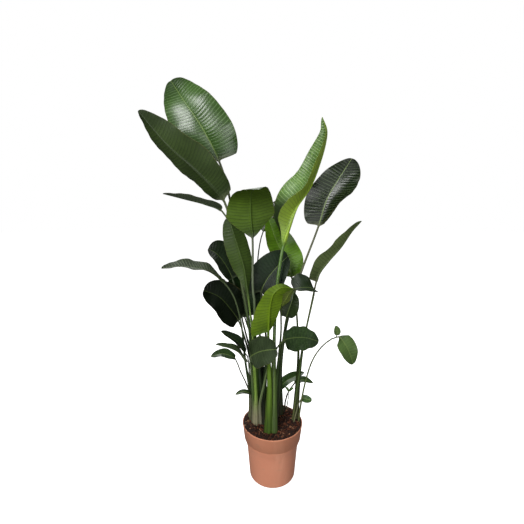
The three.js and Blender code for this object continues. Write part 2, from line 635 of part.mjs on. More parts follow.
function soilGeometry() {
  const foot = SOIL_TOP - SOIL_CROWN / 2;
  const profile = [
    ...potInside(SOIL_GAP).slice(1).reverse(),
    [soilRadius(foot), foot],
    ...SOIL_RINGS.map(([reach, rise]) => [soilRadius(SOIL_TOP) * reach, SOIL_TOP + SOIL_CROWN * rise]),
  ];
  let body = toSolid(turned(profile, POT_SIDES));
  const random = randomSource(CHIP_SEED);
  for (let i = 0; i < CHIP_COUNT; i += 1) body = body.add(toSolid(chipGeometry(random)));
  for (const leaf of LEAVES) body = body.subtract(toSolid(holeGeometry(leaf)));
  return toGeometry(body);
}

function sub(name, geometry, material) {
  const mesh = new THREE.Mesh(geometry, material);
  mesh.name = name;
  return mesh;
}

const plant = new THREE.Group();
const clay = new THREE.MeshStandardMaterial({ color: 0xaf7355, roughness: 0.6, metalness: 0 });
const bark = new THREE.MeshStandardMaterial({ color: 0x3c2319, roughness: 0.95, metalness: 0 });
plant.add(sub("pot", potGeometry(), clay));
plant.add(sub("potting_bark", soilGeometry(), bark));
for (const leaf of LEAVES) {
  const green = new THREE.MeshStandardMaterial({ color: leaf.colour, roughness: 0.42, metalness: 0 });
  plant.add(sub(leaf.name, leafGeometry(leaf), green));
}

export default plant;
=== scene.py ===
import math

import bpy
import numpy as np
from mathutils import Matrix, Vector, noise


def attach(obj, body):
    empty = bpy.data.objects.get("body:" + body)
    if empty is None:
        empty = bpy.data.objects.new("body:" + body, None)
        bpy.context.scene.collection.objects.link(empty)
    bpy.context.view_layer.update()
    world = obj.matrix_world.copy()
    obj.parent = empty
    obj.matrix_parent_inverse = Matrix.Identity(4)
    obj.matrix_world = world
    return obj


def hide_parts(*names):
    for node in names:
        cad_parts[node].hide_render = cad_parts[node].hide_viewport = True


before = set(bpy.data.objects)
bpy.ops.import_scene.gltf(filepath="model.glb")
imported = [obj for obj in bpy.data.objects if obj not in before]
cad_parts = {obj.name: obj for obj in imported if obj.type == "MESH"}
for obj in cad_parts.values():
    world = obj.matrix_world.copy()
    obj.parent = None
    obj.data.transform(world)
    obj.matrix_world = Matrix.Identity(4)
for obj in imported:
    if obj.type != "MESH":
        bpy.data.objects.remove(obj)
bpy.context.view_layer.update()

# Potted bird of paradise. Sizes are in millimetres unless they say otherwise, and meshes are
# written in metres. +Z is up, the origin is the pot's axis on its underside, the front faces -Y.
MM = 0.001
SEED = 11

# Camera and lights, in metres, degrees and watts, but LENS and SENSOR in millimetres.
# LIGHTS: place, size and power of each.
CAMERA_PLACE = (-0.042, -1.245, 1.088)
CAMERA_DIP = 9.5
LENS = 23.29
SENSOR = 36
LIGHTS = {
    "window": ((-1.3, -2.2, 1.9), 1.1, 62),
    "ceiling": ((0.6, 0.5, 3.1), 2.4, 36),
    "fill": ((0.3, -2.6, 0.5), 1.4, 29),
    "back": ((-0.9, 2.0, 2.7), 1.8, 40),
}
AIM = (0, 0, 0.85)
ROOM_LIGHT = 0.13
ROOM_SEEN = 1.0
FLOOR_RADIUS = 16
FLOOR_SIDES = 96
FLOOR_GLOW = 0.95
FLOOR_BOUNCE = (120, 120, 120)

# Pot
POT_HEIGHT = 230
RIM_RADIUS = 120
LIP = 3.2
COLLAR_FOOT = (112.6, 168)
COLLAR_STEP = 1.4
WALL_TOP = (101, 126)
BASE_RADIUS = 92
CORNER = 9
WALL = 2.2
FLOOR = 3
POT_SIDES = 168
ROUND_STEPS = 8
GROOVE_STEPS = 4
SHOULDER_POWER = 1.25
DRAIN_COUNT = 6
DRAIN_RADIUS = 6
DRAIN_CIRCLE = 66
DRAIN_SIDES = 32
AXIS_RADIUS = 0.01

# The lip's rounding: how far in and down from its upper corner, and in and up from its foot
LIP_EDGE = [(0, 1), (0.3, 0.3), (1, 0)]
LIP_FOOT = [(0.9, -0.8), (0.3, -0.3), (0, 0.4)]

# Potting bark. SOIL_LUMPS: height and width of the lumps, and the level of noise they are cut at.
SOIL_TOP = 224
SOIL_CROWN = 3
SOIL_GAP = 0.35
SOIL_DROP = 5
SOIL_RINGS = 34
SOIL_SIDES = 150
SOIL_LUMPS = [(2.6, 21, 3.1), (1.3, 7, 8.2)]
ROOT_DEPTH = 45
BARK_HEAP = 4.5
CHIP_COUNT = 560
CHIP_LENGTH = (7, 22)
CHIP_WIDTH = (0.35, 0.7)
CHIP_HEIGHT = (1.5, 4.5)
CHIP_LEVELS = [(-1, 0.72), (0, 1.0), (1, 0.66)]
CHIP_TONE_POWER = 2.2
RIM_CHIPS = 46
RIM_CHIP_SIZE = 0.55
FIBRE_COUNT = 150
FIBRE_LENGTH = (12, 34)
FIBRE_RADIUS = 0.55
FIBRE_RINGS = 7
CHIP_MARGIN = 8
FIBRE_MARGIN = 6

# How every leaf is drawn. Each pair from VEIN_DRIFT on is the size and the period of a slow change:
# of where the veins run, along the blade and across it, of the pleats' height, and of the face.
SPAN_SAMPLES = 24
SHEATH_LENGTH = 420
CHANNEL_DEPTH = 0.22
STALK_POWER = 1.3
STALK_STEP = 24
TIP_HALF_WIDTH = 1.6
TURN_SPAN = 0.42
NECK_WIDENING = 1.15
NECK_BLEND = 0.05
WAVE_OFFSET = 0.37
ROW_STEP = 1.7
ROWS = (26, 220)
ROW_CROWDING = 0.45
COLUMN_WIDTH = 11
COLUMNS = (5, 15)
RIB_CROWDING = 1.6
MARGIN_COLUMN = 0.985
BLADE_THICKNESS = 1.0
MARGIN_THICKNESS = 0.5
FULL_RELIEF_WIDTH = 120
PLEAT_PERIOD = 10.5
PLEAT_STRENGTH = 0.8
VEIN_BOW = 0.0016
VEIN_DRIFT = (0.1, 53)
CROSS_DRIFT = (0.06, 71)
PLEAT_CHANGE = (0.3, 97)
FACE_SWELL = (0.6, 131)
RIPPLE_PERIOD = 34

# Half-width and depth of a midrib: as many neck radii at its base, as many millimetres at its tip,
# and the power by which it tapers. FAR_FROM_RIB: the most half-widths that the material reads.
RIB_HALF = (1.05, 1.3, 0.8)
RIB_DEPTH = (1.7, 0.7, 0.7)
FAR_FROM_RIB = 40

# Finish. Colours are sRGB from 0 to 255. SHEATH_FADE and COLLAR_FADE: heights in metres.
VEIN_STRENGTH = 0.35
STREAKS = 2.6
SHEATH_FADE = (0.25, 0.37)
COLLAR_FADE = (0.15, 0.172)
UPPER_RIB = (120, 142, 76)
DRY_MARGIN = (104, 96, 56)
SHEATH_SPOT = (78, 56, 38)
POT_COLOURS = dict(dark=(196, 126, 98), pale=(218, 150, 120), streak=(226, 168, 138),
                   collar=(216, 138, 98), dust=(176, 136, 110), scuff=(120, 74, 54))
BARK_COLOURS = dict(dark=[(22, 11, 7), (52, 27, 17)], warm=[(72, 36, 20), (116, 62, 36)],
                    pale=[(140, 92, 62), (186, 150, 116)])
BARK_GRIT = (150, 110, 84)
FLOOR_COLOURS = [(236, 236, 236), (242, 242, 242)]

# What a leaf has where its row of the table doesn't say otherwise
USUAL_LEAF = dict(
    curl=6, wave=(2, 2), twist=0, turn_at=0.5, fullness=0.62, shift=0.74, opening=0.06, halves=1,
    lean=0, sweep=(-0.12, 0.3), pleat=0.85, ripple=0.6, flare=0.3,
    petiole=(70, 94, 38), neck=(98, 106, 76), sheath=(104, 106, 74), rib_light=1,
    ends=(0.5, 0.56, 0.42), hollow=0, gloss=0.35, sheen=0.27, kind="leaf_mature",
)

# Leaves: the form of each, then its looks. A half's value is one number for both halves, or a pair
# for the left and the right.
# foot: x, y where the stalk enters the bark. stem: radius at foot and neck. stalk: points up to the
# neck. blade: points of the midrib from the neck to the tip. face: the way the upper side looks at
# mid-blade. fold, curl: degrees that a half rises from flat at the midrib, and bends further to its
# margin. curl_tip: the curl at the tip, if it differs. twist: degrees that the face turns about
# the share turn_at of the blade. wave: (height, number) of the swells along a margin. fullness,
# shift: how square a half's outline is, and where it is widest. opening: the share over which the
# blade opens. halves: factor on a half's width. sweep: slope of the veins at base and tip. lean:
# how far the slope differs from left to right. pleat, ripple: height of the relief between a half's
# veins and at the margins. flare: how far the sheath widens at the foot. side: a second blade on
# the same stalk.
# upper, under: colours of the two sides. veins: colour and strength of the upper side's vein lines,
# if not its own; pale ones stand partly for the leaf's veins and partly for painted highlight
# stripes. petiole, neck, sheath: colours up the stalk. rib: the midrib's colour below, if not the
# under side's. rib_light: how bright it is above. ends: painted shade at base and tip, as what
# they keep of red, green and blue. hollow: how dark the painted shade makes the upper side
# inside the fold at its base. gloss, sheen: specular level, and roughness of the upper side.
# kind: the slot.
LEAVES = {}


def row(name, **values):
    """Adds a leaf to the table, with the usual values for what it doesn't name."""
    LEAVES[name] = {**USUAL_LEAF, **values}


row("leaf_top_left", foot=(-41, 16), stem=(7, 4.2),
    stalk=[(-56, 26, 371), (-88, 44, 576), (-125, 58, 798), (-166, 68, 1120)],
    blade=[(-202, 75, 1248), (-257, 52, 1362), (-318, 50, 1452), (-373, 78, 1534)], width=202,
    face=(0.2, -0.96, 0.14), fold=(-10, 34), curl=(-26, -30), wave=(4, 3), fullness=0.52,
    shift=0.64, halves=(1.04, 1.03), lean=0.12, pleat=(0.45, 0.85), flare=1.6,
    upper=(60, 92, 34), under=(70, 96, 40), veins=((124, 152, 104), 0.3), petiole=(44, 62, 24),
    neck=(96, 104, 74), ends=(0.4, 0.46, 0.34), gloss=0.5, sheen=0.28)
row("leaf_far_left", foot=(-82, 16), stem=(7, 4.2),
    stalk=[(-80, 12, 378), (-94, 6, 652), (-118, -2, 800), (-152, -6, 1000)],
    blade=[(-176, -18, 1100), (-218, -42, 1154), (-270, -70, 1208), (-348, -105, 1280),
           (-425, -135, 1375)],
    width=160, face=(0.35, 0.75, 0.55), fold=14, curl=10, wave=(4, 3), lean=0.1, flare=0.8,
    upper=(44, 76, 34), under=(50, 66, 24), petiole=(44, 64, 26), neck=(92, 100, 70),
    sheath=(120, 118, 92), rib=(40, 52, 22), gloss=0.3)
row("leaf_edge_left", foot=(-34, -6), stem=(5.5, 3.4),
    stalk=[(-46, 2, 363), (-73, 22, 585), (-113, 31, 804), (-142, 33, 958)],
    blade=[(-190, 28, 1066), (-248, 12, 1092), (-318, -8, 1110), (-390, -30, 1128)], width=110,
    face=(0.1, 0, 1), fold=(16, 12), curl=(8, 4), wave=(3, 2), flare=1.8,
    upper=(38, 56, 34), under=(70, 84, 54), petiole=(36, 54, 22), neck=(80, 92, 56),
    sheath=(40, 44, 28))
# Its under colour is painted yellow-green for light shining through the blade.
row("leaf_front_centre", foot=(-62, 9), stem=(9, 3.8),
    stalk=[(-64, 4, 383), (-69, -6, 596), (-71, -34, 751), (-75, -40, 780)],
    blade=[(-75, -60, 970), (-80, -72, 1040), (-80, -95, 1098), (-76, -140, 1130),
           (-66, -200, 1138), (-50, -262, 1132)],
    width=172, face=(-0.2, 0.55, 0.8), fold=2, curl=-2, fullness=0.9, shift=0.46, opening=0.27,
    flare=0.9,
    upper=(58, 92, 34), under=(74, 98, 22), petiole=(52, 80, 26), neck=(96, 104, 84),
    sheath=(112, 110, 86), rib=(64, 84, 34), gloss=0.2)
# Its under colour is painted bright yellow-green for light shining through the blade.
row("leaf_tall_folded", foot=(3, -60), stem=(7.6, 6.2),
    stalk=[(2, -48, 430), (4, -30, 600), (14, 0, 780)],
    blade=[(36, 20, 930), (56, 26, 1000), (86, 32, 1080), (134, 36, 1151), (164, 34, 1225),
           (186, 24, 1308), (187, 12, 1350), (167, -4, 1389)],
    width=208, face=(-0.97, -0.1, 0.2), fold=(46, 60), curl=12, twist=76, turn_at=0.24, wave=(5, 3),
    fullness=(0.7, 0.95), shift=(0.5, 0.8), opening=0.2, halves=(0.84, 0.68), flare=1.4,
    upper=(104, 142, 70), under=(164, 196, 60), veins=((152, 178, 124), 0.6), petiole=(68, 92, 24),
    neck=(84, 118, 44), sheath=(58, 80, 24), ends=(0.8, 0.86, 0.7), hollow=0.95, gloss=0.6,
    sheen=0.26, kind="leaf_young")
row("leaf_right_glossy", foot=(34, 50), stem=(8, 3.8),
    stalk=[(33, 54, 440), (60, 62, 630), (104, 60, 805)],
    blade=[(172, 48, 1007), (199, 40, 1107), (230, 32, 1169), (257, 28, 1213), (283, 26, 1255)],
    width=180, face=(-0.1, -0.85, 0.5), fold=(10, -8), curl=(8, 140), curl_tip=(8, -20),
    wave=(4, 3), halves=(0.84, 0.98), lean=-0.3, sweep=(-0.1, 0.3), flare=1,
    upper=(18, 32, 12), under=(74, 92, 36), veins=((118, 132, 104), 0.2), petiole=(32, 50, 18),
    neck=(88, 92, 64), sheath=(48, 54, 34), gloss=0.32, sheen=0.24, kind="leaf_dark")
row("leaf_right_upswept", foot=(98, 24), stem=(6.5, 3.6),
    stalk=[(107, 36, 387), (122, 42, 531), (139, 44, 631), (158, 40, 740)],
    blade=[(167, 38, 791), (178, 36, 829), (214, 32, 880), (257, 28, 932), (295, 24, 991),
           (328, 22, 1030)],
    width=112, face=(-0.75, 0.1, 0.6), fold=(20, 50), curl=(8, 12), wave=(4, 3), shift=0.55,
    halves=(1, 0.9), flare=1,
    upper=(54, 78, 34), under=(84, 98, 54), petiole=(50, 64, 24), neck=(88, 92, 60),
    sheath=(72, 78, 44))
row("leaf_right_small", foot=(84, 10), stem=(3.6, 2.6),
    stalk=[(107, 18, 414), (121, 22, 548), (138, 22, 642), (156, 18, 740)],
    blade=[(156, 2, 774), (131, -18, 786), (104, -38, 791), (73, -58, 792)], width=118,
    face=(0.1, -0.1, 1), fold=(-10, 30), fullness=0.42, shift=0.58, halves=(0.6, 1.15),
    sweep=(-0.15, 0.2),
    upper=(36, 54, 30), under=(60, 72, 42), petiole=(60, 80, 34), neck=(72, 86, 44),
    sheath=(88, 94, 52), kind="leaf_dark")
# Its under colour is painted yellow-green for light shining through the blade.
row("leaf_front_arched", foot=(-17, -62), stem=(6.8, 5), stalk=[(-13, -63, 400), (-17, -61, 540)],
    blade=[(-19, -60, 627), (-17, -66, 685), (-12, -74, 740), (0, -80, 780), (29, -80, 802),
           (68, -70, 796)],
    width=100, face=(-0.15, 0.85, 0.45), fold=(8, 14), curl=(4, 12), wave=(3, 2),
    fullness=(0.8, 0.95), shift=(0.95, 0.36), opening=0.04, halves=(0.9, 1.3), lean=0.3,
    sweep=(-0.3, 0.2), flare=2,
    upper=(80, 118, 30), under=(94, 120, 14), petiole=(70, 94, 24), neck=(92, 122, 36),
    sheath=(60, 84, 24), gloss=0.2, kind="leaf_young")
row("leaf_front_olive", foot=(12, 4), stem=(5, 3.4), stalk=[(18, 12, 400), (32, 12, 600)],
    blade=[(32, -16, 714), (44, -28, 741), (57, -38, 767), (73, -44, 788)], width=62,
    face=(-0.35, 0.8, 0.3), fold=10, halves=(0.8, 1), sweep=(-0.5, 0.2), flare=1.6,
    upper=(84, 96, 40), under=(118, 136, 54), petiole=(38, 58, 20), neck=(70, 84, 44),
    sheath=(44, 50, 30), gloss=0.3, kind="leaf_young")
row("leaf_behind_folded", foot=(92, 44), stem=(5.5, 3.6),
    stalk=[(103, 58, 375), (107, 66, 503), (92, 78, 720)],
    blade=[(78, 86, 800), (52, 92, 868), (14, 100, 950), (-18, 104, 1040)], width=122,
    face=(0.2, -0.9, 0.3), fold=(14, 8), curl=(6, 10), wave=(3, 3), halves=(0.85, 1.2), lean=0.15,
    flare=0.6,
    upper=(92, 132, 26), under=(90, 126, 36), petiole=(48, 66, 24), neck=(80, 96, 50),
    sheath=(60, 66, 38), ends=(0.75, 0.8, 0.7), gloss=0.2, kind="leaf_young")
row("leaf_dark_behind", foot=(-24, 64), stem=(4.4, 2.6),
    stalk=[(-44, 92, 450), (-58, 116, 700), (-60, 124, 860)],
    blade=[(-38, 142, 980), (-2, 148, 1035), (40, 154, 1082), (82, 162, 1120)], width=92,
    face=(-0.3, -0.8, 0.5), fold=12, flare=3,
    upper=(28, 48, 20), under=(40, 60, 26), petiole=(26, 40, 18), neck=(70, 80, 56),
    sheath=(30, 34, 22), kind="leaf_dark")
row("leaf_left_folded", foot=(-66, -13), stem=(6.5, 3.6), stalk=[(-69, -20, 397), (-78, -28, 605)],
    blade=[(-92, -26, 741), (-100, -27, 805), (-108, -28, 864), (-124, -34, 924), (-142, -38, 986),
           (-160, -38, 1046)],
    width=98, face=(-0.35, 0.8, 0.3), fold=(20, 26), wave=(3, 2), fullness=0.5, shift=1.5,
    opening=0.42, sweep=(-0.6, 0.15), flare=1.3,
    upper=(52, 82, 34), under=(56, 76, 20), petiole=(104, 132, 52), neck=(96, 120, 54),
    sheath=(132, 128, 100))
row("leaf_dark_left", foot=(-52, 50), stem=(5.5, 3),
    stalk=[(-72, 59, 419), (-121, 65, 632), (-132, 66, 700)],
    blade=[(-158, 62, 800), (-186, 54, 862), (-214, 44, 902), (-246, 34, 926)], width=90,
    face=(0.3, -0.7, 0.6), fold=16, wave=(3, 2), fullness=0.5, halves=(1, 1.7),
    upper=(30, 42, 26), under=(44, 58, 32), petiole=(36, 52, 24), neck=(72, 82, 58),
    sheath=(50, 52, 36), rib_light=0.5, kind="leaf_dark")
row("leaf_left_level", foot=(-76, 38), stem=(6, 3.4),
    stalk=[(-108, 16, 480), (-124, 18, 640), (-150, 10, 745)],
    blade=[(-184, -4, 802), (-230, -34, 850), (-285, -66, 872), (-336, -90, 880),
           (-385, -108, 876)],
    width=104, face=(0.2, -0.3, 1), fold=(18, 4), curl=(6, 4), wave=(4, 3),
    upper=(54, 70, 44), under=(72, 84, 50), veins=((110, 122, 92), 0.5), petiole=(38, 56, 26),
    neck=(74, 86, 58), sheath=(80, 78, 56), rib_light=0.6, gloss=0.15, sheen=0.5, kind="leaf_dark")
# Its upper colour is painted near black for the shade the leaf sits in.
row("leaf_black_left", foot=(-58, 31), stem=(6, 3.2), stalk=[(-80, 36, 430), (-115, 48, 575)],
    blade=[(-134, 46, 632), (-168, 34, 690), (-208, 16, 742), (-262, -4, 772)], width=156,
    face=(0.3, -0.75, 0.6), fold=(18, 12), wave=(3, 2), fullness=0.5, flare=1,
    upper=(14, 22, 12), under=(40, 50, 30), petiole=(34, 48, 24), neck=(70, 80, 56),
    sheath=(70, 70, 50), rib_light=0.35, gloss=0.2, kind="leaf_dark")
row("leaf_dark_upright", foot=(-40, 37), stem=(5.5, 3), stalk=[(-61, 62, 417), (-89, 84, 560)],
    blade=[(-112, 88, 632), (-124, 90, 709), (-129, 95, 788), (-125, 106, 868)], width=118,
    face=(0.1, -0.95, 0.2), fold=14, wave=(3, 2), halves=(1, 1.5), flare=1.8,
    upper=(20, 42, 14), under=(44, 62, 26), petiole=(28, 42, 20), neck=(60, 70, 46),
    sheath=(36, 38, 26), rib_light=0.4, gloss=0.25, kind="leaf_dark")
row("leaf_narrow_left", foot=(-70, 54), stem=(3.4, 2.4), stalk=[(-89, 36, 365), (-99, 10, 503)],
    blade=[(-106, -6, 520), (-130, -16, 566), (-162, -28, 598), (-195, -42, 625)], width=50,
    face=(0.3, -0.4, 0.8), fold=18, curl=4,
    upper=(32, 46, 28), under=(44, 56, 34), petiole=(44, 56, 28), neck=(60, 72, 40), rib_light=0.5,
    kind="leaf_dark")
row("leaf_dark_centre", foot=(-17, 2), stem=(5.5, 3.4),
    stalk=[(-34, 6, 365), (-24, 16, 480), (-30, 28, 620)],
    blade=[(-45, 38, 752), (-24, 44, 802), (14, 50, 850), (58, 58, 892)], width=150,
    face=(-0.2, -0.95, 0.2), fold=(12, 3), curl=(6, 0), wave=(3, 2), fullness=0.52, lean=0.3,
    sweep=(-0.9, 0.3), flare=2.4,
    upper=(20, 40, 18), under=(52, 70, 40), petiole=(26, 40, 16), neck=(70, 80, 54),
    sheath=(52, 60, 34), rib_light=0.7, gloss=0.15, sheen=0.4, kind="leaf_dark")
row("leaf_dark_oval", foot=(24, 32), stem=(5, 3), stalk=[(32, 36, 410), (42, 38, 560)],
    blade=[(54, 34, 652), (64, 30, 690), (74, 28, 722), (80, 30, 756)], width=74,
    face=(0, -0.9, 0.4), fold=12, curl=8, flare=1.2,
    upper=(44, 60, 26), under=(60, 74, 48), petiole=(40, 56, 24), neck=(60, 76, 36),
    sheath=(40, 44, 26), kind="leaf_dark")
row("leaf_front_low", foot=(-80, -9), stem=(4, 3), stalk=[(-77, -30, 360), (-85, -60, 500)],
    blade=[(-84, -88, 544), (-56, -122, 578), (-26, -146, 597), (7, -168, 609)], width=132,
    face=(-0.15, -0.6, 0.8), fold=(6, -22), curl=(0, -14), wave=(3, 2), fullness=0.46, shift=0.66,
    halves=(1, 0.8), lean=-0.35, sweep=(-0.4, 0.2),
    upper=(54, 68, 42), under=(62, 76, 44), petiole=(60, 84, 34), neck=(90, 104, 70),
    sheath=(110, 108, 84), rib_light=0.8, gloss=0.3, sheen=0.36, kind="leaf_dark")
row("leaf_thin_left", foot=(-95, 31), stem=(3.2, 2.4),
    stalk=[(-92, 15, 311), (-94, 4, 383), (-93, -10, 487)],
    blade=[(-102, -42, 505), (-128, -56, 548), (-166, -72, 574), (-208, -88, 592)], width=58,
    face=(0.3, 0, 1), fold=16, curl=4,
    upper=(76, 92, 60), under=(88, 100, 70), petiole=(50, 62, 34), neck=(64, 76, 46),
    kind="leaf_dark")
row("leaf_low_left", foot=(-76, 66), stem=(3, 2.4),
    stalk=[(-93, 56, 318), (-106, 52, 360), (-132, 46, 425)],
    blade=[(-150, 42, 476), (-172, 34, 494), (-205, 24, 506), (-244, 14, 498)], width=46,
    face=(0.2, -0.5, 0.9), fold=16, curl=4,
    upper=(48, 70, 36), under=(74, 96, 56), petiole=(60, 66, 40), neck=(64, 72, 44),
    sheath=(60, 60, 40))
row("leaf_low_right", foot=(-47, -17), stem=(6, 3),
    stalk=[(-50, -28, 325), (-37, -36, 393), (-19, -38, 477), (6, -19, 533)],
    blade=[(40, -4, 572), (80, -14, 588), (125, -24, 592), (172, -30, 580)], width=98,
    face=(0, -0.5, 0.85), fold=(8, -14), curl=8, wave=(4, 4), halves=(1, 1.15),
    upper=(38, 60, 26), under=(78, 98, 56), petiole=(84, 98, 62), neck=(78, 92, 52),
    sheath=(118, 116, 94), rib_light=0.5, gloss=0.2, sheen=0.42, kind="leaf_dark")
row("leaf_far_right", foot=(106, 2), stem=(3.2, 2.6),
    stalk=[(116, 0, 321), (134, -4, 422), (159, -4, 501), (202, -3, 560)],
    blade=[(252, -4, 588), (276, -6, 562), (298, -6, 522), (314, -4, 476)], width=78,
    face=(0.3, -0.9, 0.2), fold=8, curl=8, opening=0.16,
    side=dict(start=(242, -3, 583), blade=[(246, -4, 594), (246, -6, 612), (240, -8, 634)],
              width=28, face=(0.1, -1, 0.1), fold=10, radius=1.6),
    upper=(86, 112, 58), under=(76, 100, 52), petiole=(72, 84, 40), neck=(80, 88, 60),
    sheath=(88, 94, 52))
row("leaf_low_back", foot=(10, 54), stem=(4, 2.8), stalk=[(18, 68, 265)],
    blade=[(32, 76, 322), (55, 86, 350), (94, 96, 369), (138, 106, 384)], width=50,
    face=(-0.3, -0.5, 0.8), fold=14,
    upper=(54, 82, 38), under=(70, 94, 48), petiole=(44, 60, 24), neck=(52, 72, 28),
    sheath=(40, 44, 26))
row("leaf_low_back_narrow", foot=(52, 58), stem=(3, 2.4), stalk=[(62, 88, 282)],
    blade=[(98, 106, 334), (124, 112, 346), (152, 118, 340), (180, 122, 326)], width=34,
    face=(0, -0.5, 1), fold=16, curl=4, wave=(1.5, 2),
    upper=(60, 88, 42), under=(74, 98, 50), petiole=(40, 48, 24), neck=(50, 64, 28),
    sheath=(40, 44, 26))
row("leaf_tiny_round", foot=(86, -6), stem=(2.6, 1.8), stalk=[(98, 8, 268), (108, 16, 302)],
    blade=[(118, 17, 318), (130, 14, 318), (144, 11, 316), (158, 8, 314)], width=31,
    face=(0.1, -0.8, 0.6), fold=8, curl=8, wave=(1, 1), fullness=0.5,
    upper=(64, 98, 44), under=(80, 108, 54))
row("leaf_tiny_left", foot=(-90, 1), stem=(2.6, 1.8), stalk=[(-86, -3, 305)],
    blade=[(-87, -7, 349), (-99, -13, 361), (-120, -18, 366), (-146, -23, 358)], width=25,
    face=(0.2, -0.3, 1), fold=12, curl=4, wave=(1, 1),
    upper=(52, 68, 42), under=(76, 100, 54))
row("leaf_seedling", foot=(62, 74), stem=(2, 1.4), stalk=[(68, 80, 268), (72, 82, 300)],
    blade=[(70, 82, 312), (64, 80, 324), (56, 78, 332)], width=12, face=(0.3, -0.8, 0.6), fold=10,
    curl=4, wave=(0.5, 1),
    side=dict(start=(71, 82, 304), blade=[(75, 82, 312), (82, 81, 322), (92, 80, 327)],
              width=11, face=(-0.3, -0.8, 0.6), fold=10, curl=4, radius=1.2),
    upper=(90, 134, 60), under=(104, 140, 70), kind="leaf_young")


# Lines and outlines of a leaf

def catmull_rom(points):
    """Centripetal Catmull-Rom curve through the points, SPAN_SAMPLES samples to a span."""
    p = np.array(points, float)
    p = np.vstack([2 * p[0] - p[1], p, 2 * p[-1] - p[-2]])
    steps = np.linspace(0, 1, SPAN_SAMPLES, endpoint=False)[:, None]
    spans = []
    for a, b, c, d in zip(p, p[1:], p[2:], p[3:]):
        before, here, after = (np.linalg.norm(v) ** 0.5 for v in (b - a, c - b, d - c))
        start = ((b - a) / before - (c - a) / (before + here) + (c - b) / here) * here
        end = ((c - b) / here - (d - b) / (here + after) + (d - c) / after) * here
        spans.append(b + start * steps + (3 * (c - b) - 2 * start - end) * steps**2
                     + (2 * (b - c) + start + end) * steps**3)
    return np.vstack([*spans, p[-2:-1]])


def unit(v):
    return v / np.linalg.norm(v, axis=-1, keepdims=True)


def square_to(direction, along):
    return unit(direction - np.sum(direction * along, axis=-1, keepdims=True) * along)


def lerp(a, b, share):
    return a + (b - a) * share


def smooth(share):
    """0 below 0, 1 above 1, and an even rise between."""
    share = np.clip(share, 0, 1)
    return share * share * (3 - 2 * share)


def swing(distance, change, phase):
    """A slow change along a distance, given as its size and its period."""
    size, period = change
    return size * np.sin(2 * np.pi * distance / period + phase)


def spread(*numbers):
    """Numbers of any shapes that fit one grid, side by side at each of its points."""
    return np.stack(np.broadcast_arrays(*numbers), axis=-1)


class Midline:
    """A leaf's line from foot to tip, with the direction its upper side faces carried along it."""

    def __init__(self, points, neck_index, face):
        self.points = catmull_rom(points)
        steps = np.linalg.norm(np.diff(self.points, axis=0), axis=1)
        self.lengths = np.concatenate([[0], np.cumsum(steps)])
        self.neck = self.lengths[SPAN_SAMPLES * neck_index]
        self.total = self.lengths[-1]
        padded = np.vstack([self.points[:1], self.points, self.points[-1:]])
        self.tangents = unit(padded[2:] - padded[:-2])
        middle = int(np.argmax(self.lengths >= (self.neck + self.total) / 2))
        self.faces = np.zeros_like(self.points)
        self.faces[middle] = square_to(np.array(face, float), self.tangents[middle])
        for i in range(middle + 1, len(self.points)):
            self.faces[i] = square_to(self.faces[i - 1], self.tangents[i])
        for i in range(middle - 1, -1, -1):
            self.faces[i] = square_to(self.faces[i + 1], self.tangents[i])

    def at(self, distances):
        """Points, directions and upper sides at distances from the foot."""
        found = [spread(*(np.interp(distances, self.lengths, axis) for axis in values.T))
                 for values in (self.points, self.tangents, self.faces)]
        along = unit(found[1])
        return found[0], along, square_to(found[2], along)


def midline_of(leaf):
    foot = leaf["foot"]
    rooted = [(*foot, SOIL_TOP - ROOT_DEPTH), (*foot, SOIL_TOP + SOIL_CROWN)]
    points = [*rooted, *leaf["stalk"], *leaf["blade"]]
    return Midline(points, len(points) - len(leaf["blade"]), leaf["face"])


def by_half(value, right):
    """One value for both halves of a blade, or a pair for the left and the right, as a row."""
    return np.broadcast_to(np.array(value, float), 2)[right][None, :]


def outline(share, leaf, right):
    """Half-width of a blade: 0 at the neck, 1 at its widest, and back to 0 at the tip."""
    turn = np.pi * share ** by_half(leaf["shift"], right)
    return np.maximum(np.sin(turn), 0) ** by_half(leaf["fullness"], right)


def stalk_radius(leaf, line, distance):
    foot, neck = leaf["stem"]
    return neck + (foot - neck) * np.maximum(1 - distance / line.neck, 0) ** STALK_POWER


def blade_middle(line, leaf, shares, across):
    """The blade's middle surface: rows along the shares, columns across from -1 to 1, the left
    and the right margin. Gives points, normals and the distance from the midrib."""
    point, along, up = line.at(lerp(line.neck, line.total, shares))
    turning = smooth((shares - leaf["turn_at"]) / TURN_SPAN + 0.5)
    turn = np.radians(leaf["twist"] * (turning - 0.5))[:, None]
    up = up * np.cos(turn) + np.cross(along, up) * np.sin(turn)
    side = np.cross(along, up)
    share = shares[:, None]
    hand = np.sign(across)[None, :]
    reach = np.abs(across)[None, :]
    right = (across > 0).astype(int)
    halves = by_half(leaf["halves"], right)
    half = np.maximum(leaf["width"] / 2 * halves * outline(share, leaf, right), TIP_HALF_WIDTH)
    opening = np.minimum(share / leaf["opening"], 1)
    width = lerp(leaf["stem"][1] * NECK_WIDENING, half, opening)
    fold = np.radians(by_half(leaf["fold"], right))
    curls = leaf["curl"], leaf.get("curl_tip", leaf["curl"])
    curl = np.radians(lerp(*(by_half(ends, right) for ends in curls), share)) * opening
    slope = fold + curl * reach / 2
    tilt = np.where(hand == 0, 0, fold + curl * reach)
    chord = width * reach * np.sinc(curl * reach / (2 * np.pi))
    sweep = lerp(*leaf["sweep"], share) - leaf["lean"] * hand
    height, count = leaf["wave"]
    swell = np.sin(2 * np.pi * (count * share + WAVE_OFFSET * right[None, :]))
    lift = height * swell * reach**2 * np.minimum(width / (leaf["width"] / 2), 1)

    def of(vector, amount):
        return vector[:, None, :] * (amount + 0 * width)[..., None]

    middle = (point[:, None, :] + of(side, hand * chord * np.cos(slope))
              + of(up, chord * np.sin(slope) + lift)
              + of(along, width * reach * sweep))
    normal = of(up, np.cos(tilt)) - of(side, hand * np.sin(tilt))
    return middle, normal, width * reach


# Fine skin of a leaf

